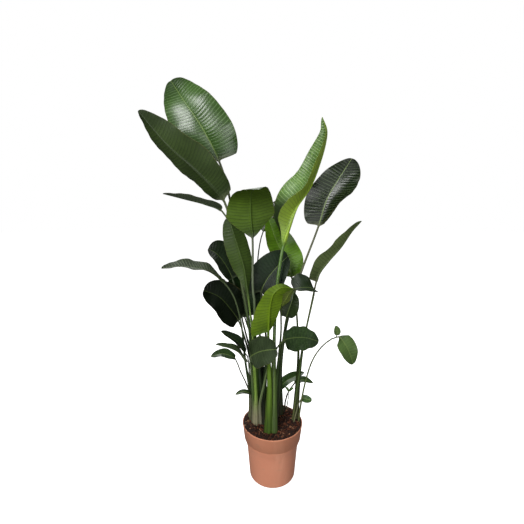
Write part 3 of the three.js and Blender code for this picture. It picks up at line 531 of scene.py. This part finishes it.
def blade_columns(leaf):
    """Places across a blade, close together at the midrib, with a narrow strip at each margin."""
    count = int(np.clip(leaf["width"] / COLUMN_WIDTH, *COLUMNS))
    half = (np.arange(1, count) / count) ** RIB_CROWDING
    half = np.concatenate([half, [MARGIN_COLUMN, 1]])
    return np.concatenate([-half[::-1], [0], half])


def blade_shares(line):
    count = int(np.clip((line.total - line.neck) / ROW_STEP, *ROWS))
    steps = np.linspace(0, 1, count)
    return lerp(steps, (1 - np.cos(np.pi * steps)) / 2, ROW_CROWDING)


def blade_relief(leaf, distance, width, across, random):
    """How far a blade rises along its own normal: pillows between the veins, slow swells in its
    face, and a ripple at its margins. distance is the length along the midrib of each row. Also
    gives the number of veins passed at each point, whole on a pillow and half on a vein."""
    phases = random.uniform(0, 2 * np.pi, 8)
    along = distance[:, None]
    side = np.sign(across)[None, :]
    edge = np.abs(across)[None, :]
    size = min(leaf["width"] / FULL_RELIEF_WIDTH, 1)
    drift = swing(along, VEIN_DRIFT, phases[0]) + swing(width, CROSS_DRIFT, phases[1])
    passed = (along - VEIN_BOW * width**2) / PLEAT_PERIOD + drift + 0.5 * side
    strength = PLEAT_STRENGTH + swing(along, PLEAT_CHANGE, phases[2] + width / 40)
    inner = smooth(width / 12) * (1 - 0.75 * smooth((edge - 0.66) / 0.34))
    height = by_half(leaf["pleat"], (across > 0).astype(int)) * size
    relief = height * strength * (np.abs(np.cos(np.pi * passed)) - 0.6) * inner
    relief += size * swing(along, FACE_SWELL, width / 31 + phases[4] + side) * smooth(width / 30)
    relief += size * swing(along, (leaf["ripple"], RIPPLE_PERIOD), phases[6] + 2 * side) * edge**6
    return relief * smooth(distance / 25)[:, None], passed


def stalk_rings(line, leaf, distances, columns):
    """Upper and under halves of the rings of a stalk, with a channel along its upper side."""
    point, along, up = line.at(distances)
    side = np.cross(along, up)
    flare = leaf["flare"] * np.maximum(1 - distances / SHEATH_LENGTH, 0)
    radius = stalk_radius(leaf, line, distances) * (1 + flare)
    turn = np.radians(89) * np.linspace(-1, 1, columns)
    channel = CHANNEL_DEPTH * smooth(distances / line.neck / 0.6)
    halves = []
    for hand, depth in ((1, channel), (-1, 0 * channel)):
        ring = radius[:, None] * (1 - depth[:, None] * np.exp(-(turn / 0.5) ** 2)[None, :])
        halves.append(point[:, None, :] + side[:, None, :] * (ring * np.sin(turn))[..., None]
                      + hand * up[:, None, :] * (ring * np.cos(turn))[..., None])
    return halves


def blade_sheets(line, leaf, shares, across, random):
    """Upper and under sheet of a blade, with its midrib sunk above and raised below. Also gives
    the distance from the midrib in half-widths of it, and the number of veins passed."""
    length = line.total - line.neck
    middle, normal, width = blade_middle(line, leaf, shares, across)
    relief, passed = blade_relief(leaf, length * shares, width, across, random)
    middle = middle + normal * relief[..., None]
    rib_half, rib_depth = (lerp(leaf["stem"][1] * base, tip, shares**power)[:, None]
                           for base, tip, power in (RIB_HALF, RIB_DEPTH))
    rib = np.sqrt(np.maximum(1 - (width / rib_half) ** 2, 0))
    sheet = lerp(BLADE_THICKNESS, MARGIN_THICKNESS, np.abs(across)[None, :] ** 2) / 2
    groove = 0.35 * rib_depth * np.exp(-(width / (0.6 * rib_half)) ** 2)
    upper = middle + normal * (sheet - 0.3 * groove)[..., None]
    under = middle - normal * (sheet + rib_depth * rib)[..., None]
    return upper, under, width / rib_half, passed


def leaf_sheets(line, leaf, random):
    """Upper and under sheet of a leaf from its foot to its tip, as grids of points, with pairs of
    the numbers that its material reads at each point: for the upper sheet and for the under."""
    across = blade_columns(leaf)
    shares = blade_shares(line)
    upper, under, from_rib, passed = blade_sheets(line, leaf, shares, across, random)
    blend = smooth(shares / NECK_BLEND)[:, None, None]
    rings = stalk_rings(line, leaf, lerp(line.neck, line.total, shares), len(across))
    distances = np.linspace(0, line.neck, max(int(line.neck / STALK_STEP), 3))[:-1]
    stalk = stalk_rings(line, leaf, distances, len(across))
    upper = np.concatenate([stalk[0], lerp(rings[0], upper, blend)])
    under = np.concatenate([stalk[1], lerp(rings[1], under, blend)])
    place = np.concatenate([distances / line.neck - 1, shares])[:, None]
    on_stalk = np.concatenate([1 + 0 * distances, 1 - smooth(shares / (2 * NECK_BLEND))])[:, None]
    stalk_grid = np.zeros((len(distances), len(across)))
    from_rib = np.concatenate([stalk_grid, from_rib])
    below = (distances - line.neck)[:, None] / PLEAT_PERIOD + stalk_grid
    at = spread(across[None, :], place, np.minimum(from_rib, FAR_FROM_RIB))
    on = [spread(side, np.concatenate([below, passed]), on_stalk) for side in (1.0, 0.0)]
    return upper, under, [at, at], on


def closed_skin(upper, under, at, on):
    """One closed skin from an upper and an under sheet: points, faces and the numbers at them."""
    rows, columns = upper.shape[:2]
    count = rows * columns
    index = np.arange(count).reshape(rows, columns)
    a, b, c, d = index[:-1, :-1], index[:-1, 1:], index[1:, 1:], index[1:, :-1]
    top = np.stack([a, b, c, d], axis=-1).reshape(-1, 4)
    bottom = top[:, ::-1] + count
    strips = []
    edges = (index[:, 0], False), (index[:, -1], True), (index[0], True), (index[-1], False)
    for edge, turned in edges:
        strip = np.stack([edge[:-1], edge[1:], edge[1:] + count, edge[:-1] + count], axis=-1)
        strips.append(strip[:, ::-1] if turned else strip)
    faces = np.concatenate([top, bottom, *strips])
    points, at, on = (np.concatenate(pair).reshape(-1, 3) for pair in ([upper, under], at, on))
    return points, faces, at, on


# Meshes

def new_object(name, data):
    thing = bpy.data.objects.new(name, data)
    bpy.context.scene.collection.objects.link(thing)
    return thing


def add_piece(name, points, faces, material, numbers=None, flat=False):
    """A new object at the origin: points in millimetres, faces as rows of point numbers."""
    mesh = bpy.data.meshes.new(name)
    mesh.from_pydata((points * MM).tolist(), [], [list(face) for face in faces])
    for title, values in (numbers or {}).items():
        attribute = mesh.attributes.new(title, "FLOAT_VECTOR", "POINT")
        attribute.data.foreach_set("vector", values.ravel())
    mesh.materials.append(material)
    mesh.polygons.foreach_set("use_smooth", [not flat] * len(mesh.polygons))
    mesh.update()
    return new_object(name, mesh)


def round_turns(sides):
    """Angles of evenly spaced points round a circle."""
    return 2 * np.pi * np.arange(sides) / sides


def ring_faces(rings, sides):
    """Faces that join rings of as many points each, and close both ends."""
    index = np.arange(rings * sides).reshape(rings, sides)
    after = np.roll(index, -1, axis=1)
    faces = np.stack([index[:-1], after[:-1], after[1:], index[1:]], axis=-1)
    return [*faces.reshape(-1, 4).tolist(), index[0, ::-1].tolist(), index[-1].tolist()]


def join_skins(skins):
    """Several lots of points, faces and numbers as one."""
    points, faces, numbers, start = [], [], [], 0
    for skin in skins:
        points.append(skin[0])
        faces.extend([[i + start for i in face] for face in skin[1]])
        numbers.append(skin[2:])
        start += len(skin[0])
    return [np.concatenate(points), faces, *[np.concatenate(column) for column in zip(*numbers)]]


# Materials

def rgb(colour, amount=1.0):
    """An sRGB colour from 0 to 255 as linear RGBA, times the amount."""
    share = np.array(colour) / 255
    linear = np.where(share <= 0.04045, share / 12.92, ((share + 0.055) / 1.055) ** 2.4)
    return (*(amount * linear).tolist(), 1)


class Shader:
    """A material with one Principled shader, and short calls for the nodes that feed it."""

    def __init__(self, name, roughness, specular=0.5):
        self.material = bpy.data.materials.new(name)
        self.material.use_nodes = True
        self.tree = self.material.node_tree
        self.surface = self.tree.nodes["Principled BSDF"]
        self.set("Roughness", roughness)
        self.set("Specular IOR Level", specular)
        self.place = self.new("TexCoord").outputs["Object"]

    def new(self, kind):
        return self.tree.nodes.new("ShaderNode" + kind)

    def feed(self, node, inputs):
        """Give a node its inputs by name or number, as links or values, and return its outputs."""
        for key, value in inputs.items():
            if isinstance(value, bpy.types.NodeSocket):
                self.tree.links.new(value, node.inputs[key])
            else:
                node.inputs[key].default_value = value
        return node.outputs

    def set(self, name, value):
        self.feed(self.surface, {name: value})

    def numbers(self, title):
        """The three numbers of a mesh attribute."""
        source = self.new("Attribute")
        source.attribute_name = title
        return self.feed(self.new("SeparateXYZ"), {0: source.outputs["Vector"]})

    def height(self):
        return self.feed(self.new("SeparateXYZ"), {0: self.place})[2]

    def math(self, operation, *values):
        node = self.new("Math")
        node.operation = operation
        return self.feed(node, dict(enumerate(values)))[0]

    def scaled(self, factors):
        """The place on the object with each axis stretched by its own factor."""
        node = self.new("VectorMath")
        node.operation = "MULTIPLY"
        return self.feed(node, {0: self.place, 1: factors})[0]

    def noise(self, scale, detail=2.0, rough=0.5, place=None):
        inputs = dict(Vector=place or self.place, Scale=scale, Detail=detail, Roughness=rough)
        return self.feed(self.new("TexNoise"), inputs)["Fac"]

    def between(self, value, low, high, start=0.0, end=1.0):
        """start where the value is at or below low, end at or above high, smooth between."""
        node = self.new("MapRange")
        node.interpolation_type = "SMOOTHSTEP"
        return self.feed(node, dict(enumerate((value, low, high, start, end))))[0]

    def mix(self, share, first, second, kind="MIX"):
        node = self.new("Mix")
        node.data_type = "RGBA"
        node.blend_type = kind
        return self.feed(node, {0: share, 6: first, 7: second})[2]

    def bump(self, height, strength, distance):
        inputs = dict(Height=height, Strength=strength, Distance=distance)
        self.set("Normal", self.feed(self.new("Bump"), inputs)[0])


def side_colours(shader, leaf, patch, vein):
    """Colours of the under side and the upper side, each with its patches and its veins, whose pale
    lines on the upper side are partly painted highlight stripes.
    """
    top, low = leaf["upper"], leaf["under"]
    under = shader.mix(patch, rgb(low, 0.75), rgb(low, 1.08))
    under = shader.mix(shader.math("MULTIPLY", vein, 0.8), under, rgb(low, 0.42))
    upper = shader.mix(patch, rgb(top, 0.62), rgb(top, 1.0))
    # The upper side's pale vein lines: partly the leaf's own veins, partly painted highlight
    # stripes.
    line, strength = leaf.get("veins", (top, VEIN_STRENGTH))
    upper = shader.mix(shader.math("MULTIPLY", vein, strength), upper, rgb(line, 1.7))
    return under, upper


def leaf_material(name, leaf):
    """Waxy blade with veins partly painted pale as highlight stripes, a pale midrib, a dry margin
    and painted shade at its ends and in the fold at its base, on a ridged green stalk.
    """
    shader = Shader(name, 0.3, leaf["gloss"])
    across, share, rib = shader.numbers("leaf_at")
    side, passed, stem = shader.numbers("leaf_on")
    patch = shader.between(shader.noise(13, 3), 0.35, 0.68)
    mottle = shader.noise(170, 2)
    vein = shader.between(shader.math("PINGPONG", passed, 0.5), 0.34, 0.5)
    strand = shader.math("PINGPONG", shader.math("MULTIPLY", passed, 4), 0.5)
    fine = shader.between(strand, 0.1, 0.45)

    blade = shader.mix(side, *side_colours(shader, leaf, patch, vein))
    fine_strength = shader.between(side, 0, 1, 0.34, 0.2)
    blade = shader.mix(shader.math("MULTIPLY", fine, fine_strength), blade, rgb(leaf["upper"], 0.5))
    speck = shader.between(mottle, 0.4, 0.75, 0, 0.14)
    blade = shader.mix(speck, blade, rgb(leaf["under"], 1.3))
    # Painted shade: the blade goes darker towards its base and its tip, on both sides.
    ends = shader.between(shader.math("ABSOLUTE", shader.math("SUBTRACT", share, 0.5)), 0.22, 0.5)
    blade = shader.mix(ends, blade, (*leaf["ends"], 1), "MULTIPLY")
    # Painted shade inside the fold: the upper side goes darker near the base of the blade.
    inner = shader.between(share, 0.27, 0.37, leaf["hollow"], 0)
    blade = shader.mix(shader.math("MULTIPLY", inner, side), blade, rgb(leaf["upper"], 0.12))
    rib_line = shader.between(rib, 0.3, 1.0, 1, 0)
    lower_rib = rgb(leaf.get("rib", leaf["under"]), 1.1)
    rib_colour = shader.mix(side, lower_rib, rgb(UPPER_RIB, leaf["rib_light"]))
    blade = shader.mix(shader.math("MULTIPLY", rib_line, 0.7), blade, rib_colour)
    margin = shader.between(shader.math("ABSOLUTE", across), 0.975, 0.995, 0, 0.5)
    blade = shader.mix(margin, blade, rgb(DRY_MARGIN))
    shader.set("Base Color", shader.mix(stem, blade, stalk_colour(shader, leaf, across, share)))

    rough = shader.between(side, 0, 1, 0.46, leaf["sheen"])
    for where, more in ((patch, 0.08), (ends, 0.1), (stem, 0.1)):
        rough = shader.math("MULTIPLY_ADD", where, more, rough)
    shader.set("Roughness", rough)
    grain = shader.noise(420, 2)
    threads = shader.noise(420, 2, 0.6, shader.scaled((1, 1, 0.04)))
    relief = shader.math("MULTIPLY_ADD", fine, 0.5, grain)
    shader.bump(shader.mix(stem, relief, threads), 0.1, 0.0004)
    return shader.material


def stalk_colour(shader, leaf, across, share):
    """Sheath colour at the foot, green above it and the neck's colour under the blade, with pale
    and dark streaks that run the stalk's whole length: partly its own striping, partly painted
    highlight."""
    place = {0: shader.math("MULTIPLY", across, STREAKS), 1: share}
    streak = shader.noise(1, 3, 0.6, shader.feed(shader.new("CombineXYZ"), place)[0])
    spots = shader.noise(60, 3)
    green, neck, sheath = leaf["petiole"], leaf["neck"], leaf["sheath"]
    # Pale and dark streaks up the stalk: partly its own striping, partly painted highlight.
    pale = shader.between(streak, 0.38, 0.62)
    low = shader.mix(pale, rgb(green, 0.3), rgb(green, 1.5))
    high = shader.mix(pale, rgb(neck, 0.65), rgb(neck, 1.2))
    colour = shader.mix(shader.between(share, -0.6, -0.1), low, high)
    colour = shader.mix(shader.between(spots, 0.5, 0.8, 0, 0.3), colour, rgb(green, 0.5))
    foot = shader.mix(shader.between(streak, 0.35, 0.65), rgb(sheath, 0.45), rgb(sheath, 1.25))
    foot = shader.mix(shader.between(spots, 0.56, 0.72, 0, 0.6), foot, rgb(SHEATH_SPOT))
    base = shader.between(shader.height(), *SHEATH_FADE, 1, 0)
    return shader.mix(base, colour, foot)


def pot_material():
    """Matte moulded plastic: faint streaks down the wall, a warmer collar, dust and scuffs."""
    shader = Shader("pot_plastic", 0.55, 0.4)
    cloud = shader.noise(9, 4)
    streak = shader.noise(26, 3, 0.6, shader.scaled((1, 1, 0.12)))
    grain = shader.noise(900, 2)
    shares = dict(
        streak=shader.between(streak, 0.5, 0.75, 0, 0.35),
        collar=shader.between(shader.height(), *COLLAR_FADE, 0, 0.3),
        dust=shader.between(shader.noise(38, 4, 0.7), 0.56, 0.72, 0, 0.3),
        scuff=shader.between(grain, 0.6, 0.8, 0, 0.18),
    )
    colour = shader.mix(cloud, rgb(POT_COLOURS["dark"]), rgb(POT_COLOURS["pale"]))
    for title, share in shares.items():
        colour = shader.mix(share, colour, rgb(POT_COLOURS[title]))
    shader.set("Base Color", colour)
    shader.set("Roughness", shader.between(cloud, 0.3, 0.7, 0.48, 0.64))
    shader.bump(grain, 0.25, 0.0003)
    return shader.material


def bark_material():
    """Moist compost and bark: dark red-brown, with the tone of each chip read from the mesh."""
    shader = Shader("potting_bark", 0.8, 0.3)
    tone, _, _ = shader.numbers("chip_tone")
    fibre = shader.noise(300, 3, 0.7, shader.scaled((1, 0.3, 1)))
    mixed = {title: shader.mix(fibre, *map(rgb, pair)) for title, pair in BARK_COLOURS.items()}
    colour = shader.mix(shader.between(tone, 0.05, 0.6), mixed["dark"], mixed["warm"])
    colour = shader.mix(shader.between(tone, 0.7, 1.0), colour, mixed["pale"])
    grit = shader.between(shader.noise(900, 2), 0.64, 0.76, 0, 0.5)
    shader.set("Base Color", shader.mix(grit, colour, rgb(BARK_GRIT)))
    shader.bump(fibre, 0.6, 0.0012)
    return shader.material


def floor_material():
    """Pale floor that runs into the pale room: it glows where it is seen, but lights nothing."""
    shader = Shader("floor", 0.7, 0.2)
    seen = shader.new("LightPath").outputs["Is Camera Ray"]
    pale = shader.mix(shader.noise(1.5), *map(rgb, FLOOR_COLOURS))
    shader.set("Base Color", shader.mix(seen, rgb(FLOOR_BOUNCE), pale))
    shader.set("Emission Color", (1, 1, 1, 1))
    shader.set("Emission Strength", shader.math("MULTIPLY", seen, FLOOR_GLOW))
    return shader.material


# Pot

def wall_curve(offset):
    """Radius and height along the shoulder and the groove, from the wall's top to the collar's
    foot, drawn in by the offset."""
    collar_radius, collar_height = COLLAR_FOOT
    wall_radius, wall_height = WALL_TOP
    shoulder_radius = collar_radius - COLLAR_STEP
    shoulder_height = collar_height - 2 * COLLAR_STEP
    points = []
    for i in range(ROUND_STEPS + 1):
        share = i / ROUND_STEPS
        radius = lerp(wall_radius, shoulder_radius, share**SHOULDER_POWER)
        points.append((radius - offset, lerp(wall_height, shoulder_height, share)))
    for i in range(1, GROOVE_STEPS + 1):
        turn = math.pi / 2 * i / GROOVE_STEPS
        points.append((collar_radius - COLLAR_STEP * math.cos(turn) - offset,
                       shoulder_height + 2 * COLLAR_STEP * math.sin(turn)))
    return points


def pot_profile():
    """Radius and height from the middle of the underside, up the outside, over the rim and down
    the inside to the middle of the floor."""
    corner = []
    for i in range(ROUND_STEPS + 1):
        turn = math.pi / 2 * i / ROUND_STEPS
        corner.append((BASE_RADIUS - CORNER * (1 - math.sin(turn)), CORNER * (1 - math.cos(turn))))
    rim = [(RIM_RADIUS - inward, POT_HEIGHT - LIP + up) for inward, up in LIP_FOOT]
    rim += [(RIM_RADIUS - inward, POT_HEIGHT - down) for inward, down in LIP_EDGE]
    rim += [(RIM_RADIUS - LIP + outward, POT_HEIGHT - down) for outward, down in reversed(LIP_EDGE)]
    floor = [(BASE_RADIUS - WALL, CORNER + 1), (BASE_RADIUS - CORNER, FLOOR), (AXIS_RADIUS, FLOOR)]
    return [(AXIS_RADIUS, 0), *corner, *wall_curve(0), *rim, *reversed(wall_curve(WALL)), *floor]


def turned(profile, sides):
    """A closed solid turned round the Z axis."""
    rows = np.array(profile)
    turns = round_turns(sides)
    points = spread(rows[:, :1] * np.cos(turns), rows[:, :1] * np.sin(turns), rows[:, 1:])
    return points.reshape(-1, 3), ring_faces(len(rows), sides)


def make_pot():
    points, faces = turned(pot_profile(), POT_SIDES)
    pot = add_piece("pot_fine", points, faces, pot_material())
    cutters = []
    for i in range(DRAIN_COUNT):
        turn = 2 * math.pi * (i + 0.5) / DRAIN_COUNT
        drill = [(DRAIN_RADIUS, -2 * FLOOR), (DRAIN_RADIUS, 3 * FLOOR)]
        points, faces = turned(drill, DRAIN_SIDES)
        place = (DRAIN_CIRCLE * math.cos(turn), DRAIN_CIRCLE * math.sin(turn), 0)
        cutters.append((points + place, faces))
    cutter = add_piece("drain_cutter", *join_skins(cutters), pot.data.materials[0])
    cut = pot.modifiers.new("drains", "BOOLEAN")
    cut.operation = "DIFFERENCE"
    cut.solver = "EXACT"
    cut.object = cutter
    apply_modifiers(pot)
    bpy.data.objects.remove(cutter)
    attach(pot, "root")
    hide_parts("pot")


def apply_modifiers(piece):
    """Put the mesh that the modifiers make in place of the piece's own, and drop them."""
    graph = bpy.context.evaluated_depsgraph_get()
    mesh = bpy.data.meshes.new_from_object(piece.evaluated_get(graph))
    piece.modifiers.clear()
    piece.data = mesh


# Potting bark

def inner_radius(height):
    """Inside radius of the collar at a height, less the gap round the bark."""
    radius, foot = COLLAR_FOOT
    share = (height - foot) / (POT_HEIGHT - 1 - foot)
    return lerp(radius - WALL, RIM_RADIUS - LIP, share) - SOIL_GAP


def soil_height(x, y):
    """Height of the bark's lumpy surface, crowned in the middle."""
    reach = math.hypot(x, y) / inner_radius(SOIL_TOP)
    crown = SOIL_CROWN * (1 - reach**2)
    lumps = sum(height * noise.noise((x / width, y / width, level))
                for height, width, level in SOIL_LUMPS)
    heap = BARK_HEAP * smooth((reach - 0.6) / 0.4)
    return SOIL_TOP + crown + lumps * (1 - 0.6 * smooth((reach - 0.85) / 0.15)) + heap


def soil_skin():
    """The filling down to the pot's floor: a turned solid whose top is then made lumpy."""
    floor = FLOOR + SOIL_GAP
    foot = [(AXIS_RADIUS, floor), (BASE_RADIUS - CORNER - SOIL_GAP, floor),
            (BASE_RADIUS - WALL - SOIL_GAP, CORNER + 1)]
    collar = (inner_radius(SOIL_TOP - SOIL_DROP), SOIL_TOP - SOIL_DROP)
    rings = [(inner_radius(SOIL_TOP) * (1 - i / SOIL_RINGS), SOIL_TOP) for i in range(SOIL_RINGS)]
    profile = [*foot, *wall_curve(WALL + SOIL_GAP), collar, *rings, (AXIS_RADIUS, SOIL_TOP)]
    points, faces = turned(profile, SOIL_SIDES)
    for point in points:
        if point[2] > SOIL_TOP - 1:
            point[2] = soil_height(point[0], point[1])
    return points, faces, np.zeros((len(points), 3))


def chip_skin(random):
    """A bark chip: an uneven flat lump with a few sides, widest at half its height."""
    sides = random.integers(6, 9)
    long = random.uniform(*CHIP_LENGTH)
    size = np.array([long, long * random.uniform(*CHIP_WIDTH), random.uniform(*CHIP_HEIGHT)]) / 2
    turns = 2 * np.pi * (np.arange(sides) + random.uniform(-0.25, 0.25, sides)) / sides
    rings = []
    for level, reach in CHIP_LEVELS:
        wobble = reach * random.uniform(0.82, 1.12, sides)
        rough = level + random.uniform(-0.25, 0.25, sides)
        rings.append(spread(np.cos(turns) * wobble, np.sin(turns) * wobble, rough))
    return np.concatenate(rings) * size, ring_faces(len(rings), sides)


def placed(points, random, reach, lift, tilt):
    """A chip's points tilted, turned and set on the bark in a random direction from the axis."""
    bearing = random.uniform(0, 2 * np.pi)
    x, y = reach * math.cos(bearing), reach * math.sin(bearing)
    turn = Matrix.Rotation(random.uniform(0, 2 * np.pi), 3, "Z")
    lean, roll = (Matrix.Rotation(random.uniform(-tilt, tilt), 3, axis) for axis in "XY")
    matrix = np.array(turn @ (lean @ roll))
    return points @ matrix.T + (x, y, soil_height(x, y) + lift)


def fibre_skin(random):
    """A thin bent fibre with three sides, tapered at both ends."""
    length = random.uniform(*FIBRE_LENGTH)
    along = np.linspace(-0.5, 0.5, FIBRE_RINGS)
    bend = random.uniform(-6, 6) * (0.25 - along**2) * 4
    middle = spread(along * length, bend, 1.5 * np.sin(6 * along + random.uniform(0, 6)))
    radius = FIBRE_RADIUS * np.sqrt(np.maximum(1 - (2 * along) ** 2, 0.06))
    turns = round_turns(3)
    ring = spread(0.0, np.cos(turns), np.sin(turns))
    points = middle[:, None, :] + radius[:, None, None] * ring[None, :, :]
    return points.reshape(-1, 3), ring_faces(FIBRE_RINGS, 3)


def make_bark():
    """The filling with its loose chips: over the whole top, small ones at the rim, and fibres."""
    random = np.random.default_rng(SEED)
    skins = [soil_skin()]
    widest = inner_radius(SOIL_TOP) - CHIP_MARGIN

    def add(points, faces, tone):
        skins.append((points, faces, np.full((len(points), 3), tone)))

    for _ in range(CHIP_COUNT):
        points, faces = chip_skin(random)
        reach = widest * math.sqrt(random.uniform(0, 1))
        points = placed(points, random, reach, random.uniform(-0.5, 2.0), 0.6)
        add(points, faces, random.uniform(0, 1) ** CHIP_TONE_POWER)
    for _ in range(RIM_CHIPS):
        points, faces = chip_skin(random)
        points = placed(points * RIM_CHIP_SIZE, random, RIM_RADIUS - random.uniform(2, 9), 1.2, 0.3)
        add(points, faces, random.uniform(0, 1) ** CHIP_TONE_POWER)
    for _ in range(FIBRE_COUNT):
        points, faces = fibre_skin(random)
        reach = (widest - FIBRE_MARGIN) * math.sqrt(random.uniform(0, 1))
        points = placed(points, random, reach, 2.2, 0.2)
        add(points, faces, random.uniform(0.3, 1))
    points, faces, tone = join_skins(skins)
    numbers = dict(chip_tone=tone)
    bark = add_piece("potting_bark_fine", points, faces, bark_material(), numbers, flat=True)
    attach(bark, "root")
    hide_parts("potting_bark")


# Leaves

def side_skin(side, random):
    """A small second blade on the same stem."""
    radius = side["radius"]
    leaf = {**USUAL_LEAF, **side, "stem": (radius, radius), "wave": (0.5, 1)}
    line = Midline([side["start"], *side["blade"]], 1, side["face"])
    return closed_skin(*leaf_sheets(line, leaf, random))


def make_leaf(name, leaf, random):
    skins = [closed_skin(*leaf_sheets(midline_of(leaf), leaf, random))]
    if "side" in leaf:
        skins.append(side_skin(leaf["side"], random))
    points, faces, at, on = join_skins(skins)
    numbers = dict(leaf_at=at, leaf_on=on)
    piece = add_piece(name + "_fine", points, faces, leaf_material(name, leaf), numbers)
    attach(piece, "root")
    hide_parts(name)


# Stage

def make_camera():
    camera = new_object("camera", bpy.data.cameras.new("camera"))
    camera.data.lens = LENS
    camera.data.sensor_width = SENSOR
    camera.location = CAMERA_PLACE
    camera.rotation_euler = (math.radians(90 - CAMERA_DIP), 0, 0)
    bpy.context.scene.camera = camera


def make_light(name, place, size, power):
    light = bpy.data.lights.new(name, "AREA")
    light.size = size
    light.energy = power
    lamp = new_object(name, light)
    lamp.location = place
    lamp.visible_camera = False
    to_aim = Vector(AIM) - lamp.location
    lamp.rotation_euler = to_aim.to_track_quat("-Z", "Y").to_euler()


def make_world():
    """A pale room: bright where the camera sees it, softer where it lights the plant."""
    world = bpy.data.worlds.new("room")
    world.use_nodes = True
    bpy.context.scene.world = world
    tree = world.node_tree
    tree.nodes.clear()
    path = tree.nodes.new("ShaderNodeLightPath")
    mix = tree.nodes.new("ShaderNodeMixShader")
    output = tree.nodes.new("ShaderNodeOutputWorld")
    for socket, strength in ((1, ROOM_LIGHT), (2, ROOM_SEEN)):
        room = tree.nodes.new("ShaderNodeBackground")
        room.inputs["Color"].default_value = (1, 1, 1, 1)
        room.inputs["Strength"].default_value = strength
        tree.links.new(room.outputs[0], mix.inputs[socket])
    tree.links.new(path.outputs["Is Camera Ray"], mix.inputs[0])
    tree.links.new(mix.outputs[0], output.inputs[0])


def make_floor():
    turns = round_turns(FLOOR_SIDES)
    ring = spread(np.cos(turns), np.sin(turns), 0.0) * FLOOR_RADIUS / MM
    floor = add_piece("floor", ring, [range(FLOOR_SIDES)], floor_material(), flat=True)


def make_stage():
    make_floor()
    make_world()
    for name, light in LIGHTS.items():
        make_light(name, *light)
    bpy.context.scene.view_settings.view_transform = "Standard"


make_camera()
make_stage()
make_pot()
make_bark()
leaf_random = np.random.default_rng(SEED + 1)
for leaf_name, leaf_values in LEAVES.items():
    make_leaf(leaf_name, leaf_values, leaf_random)
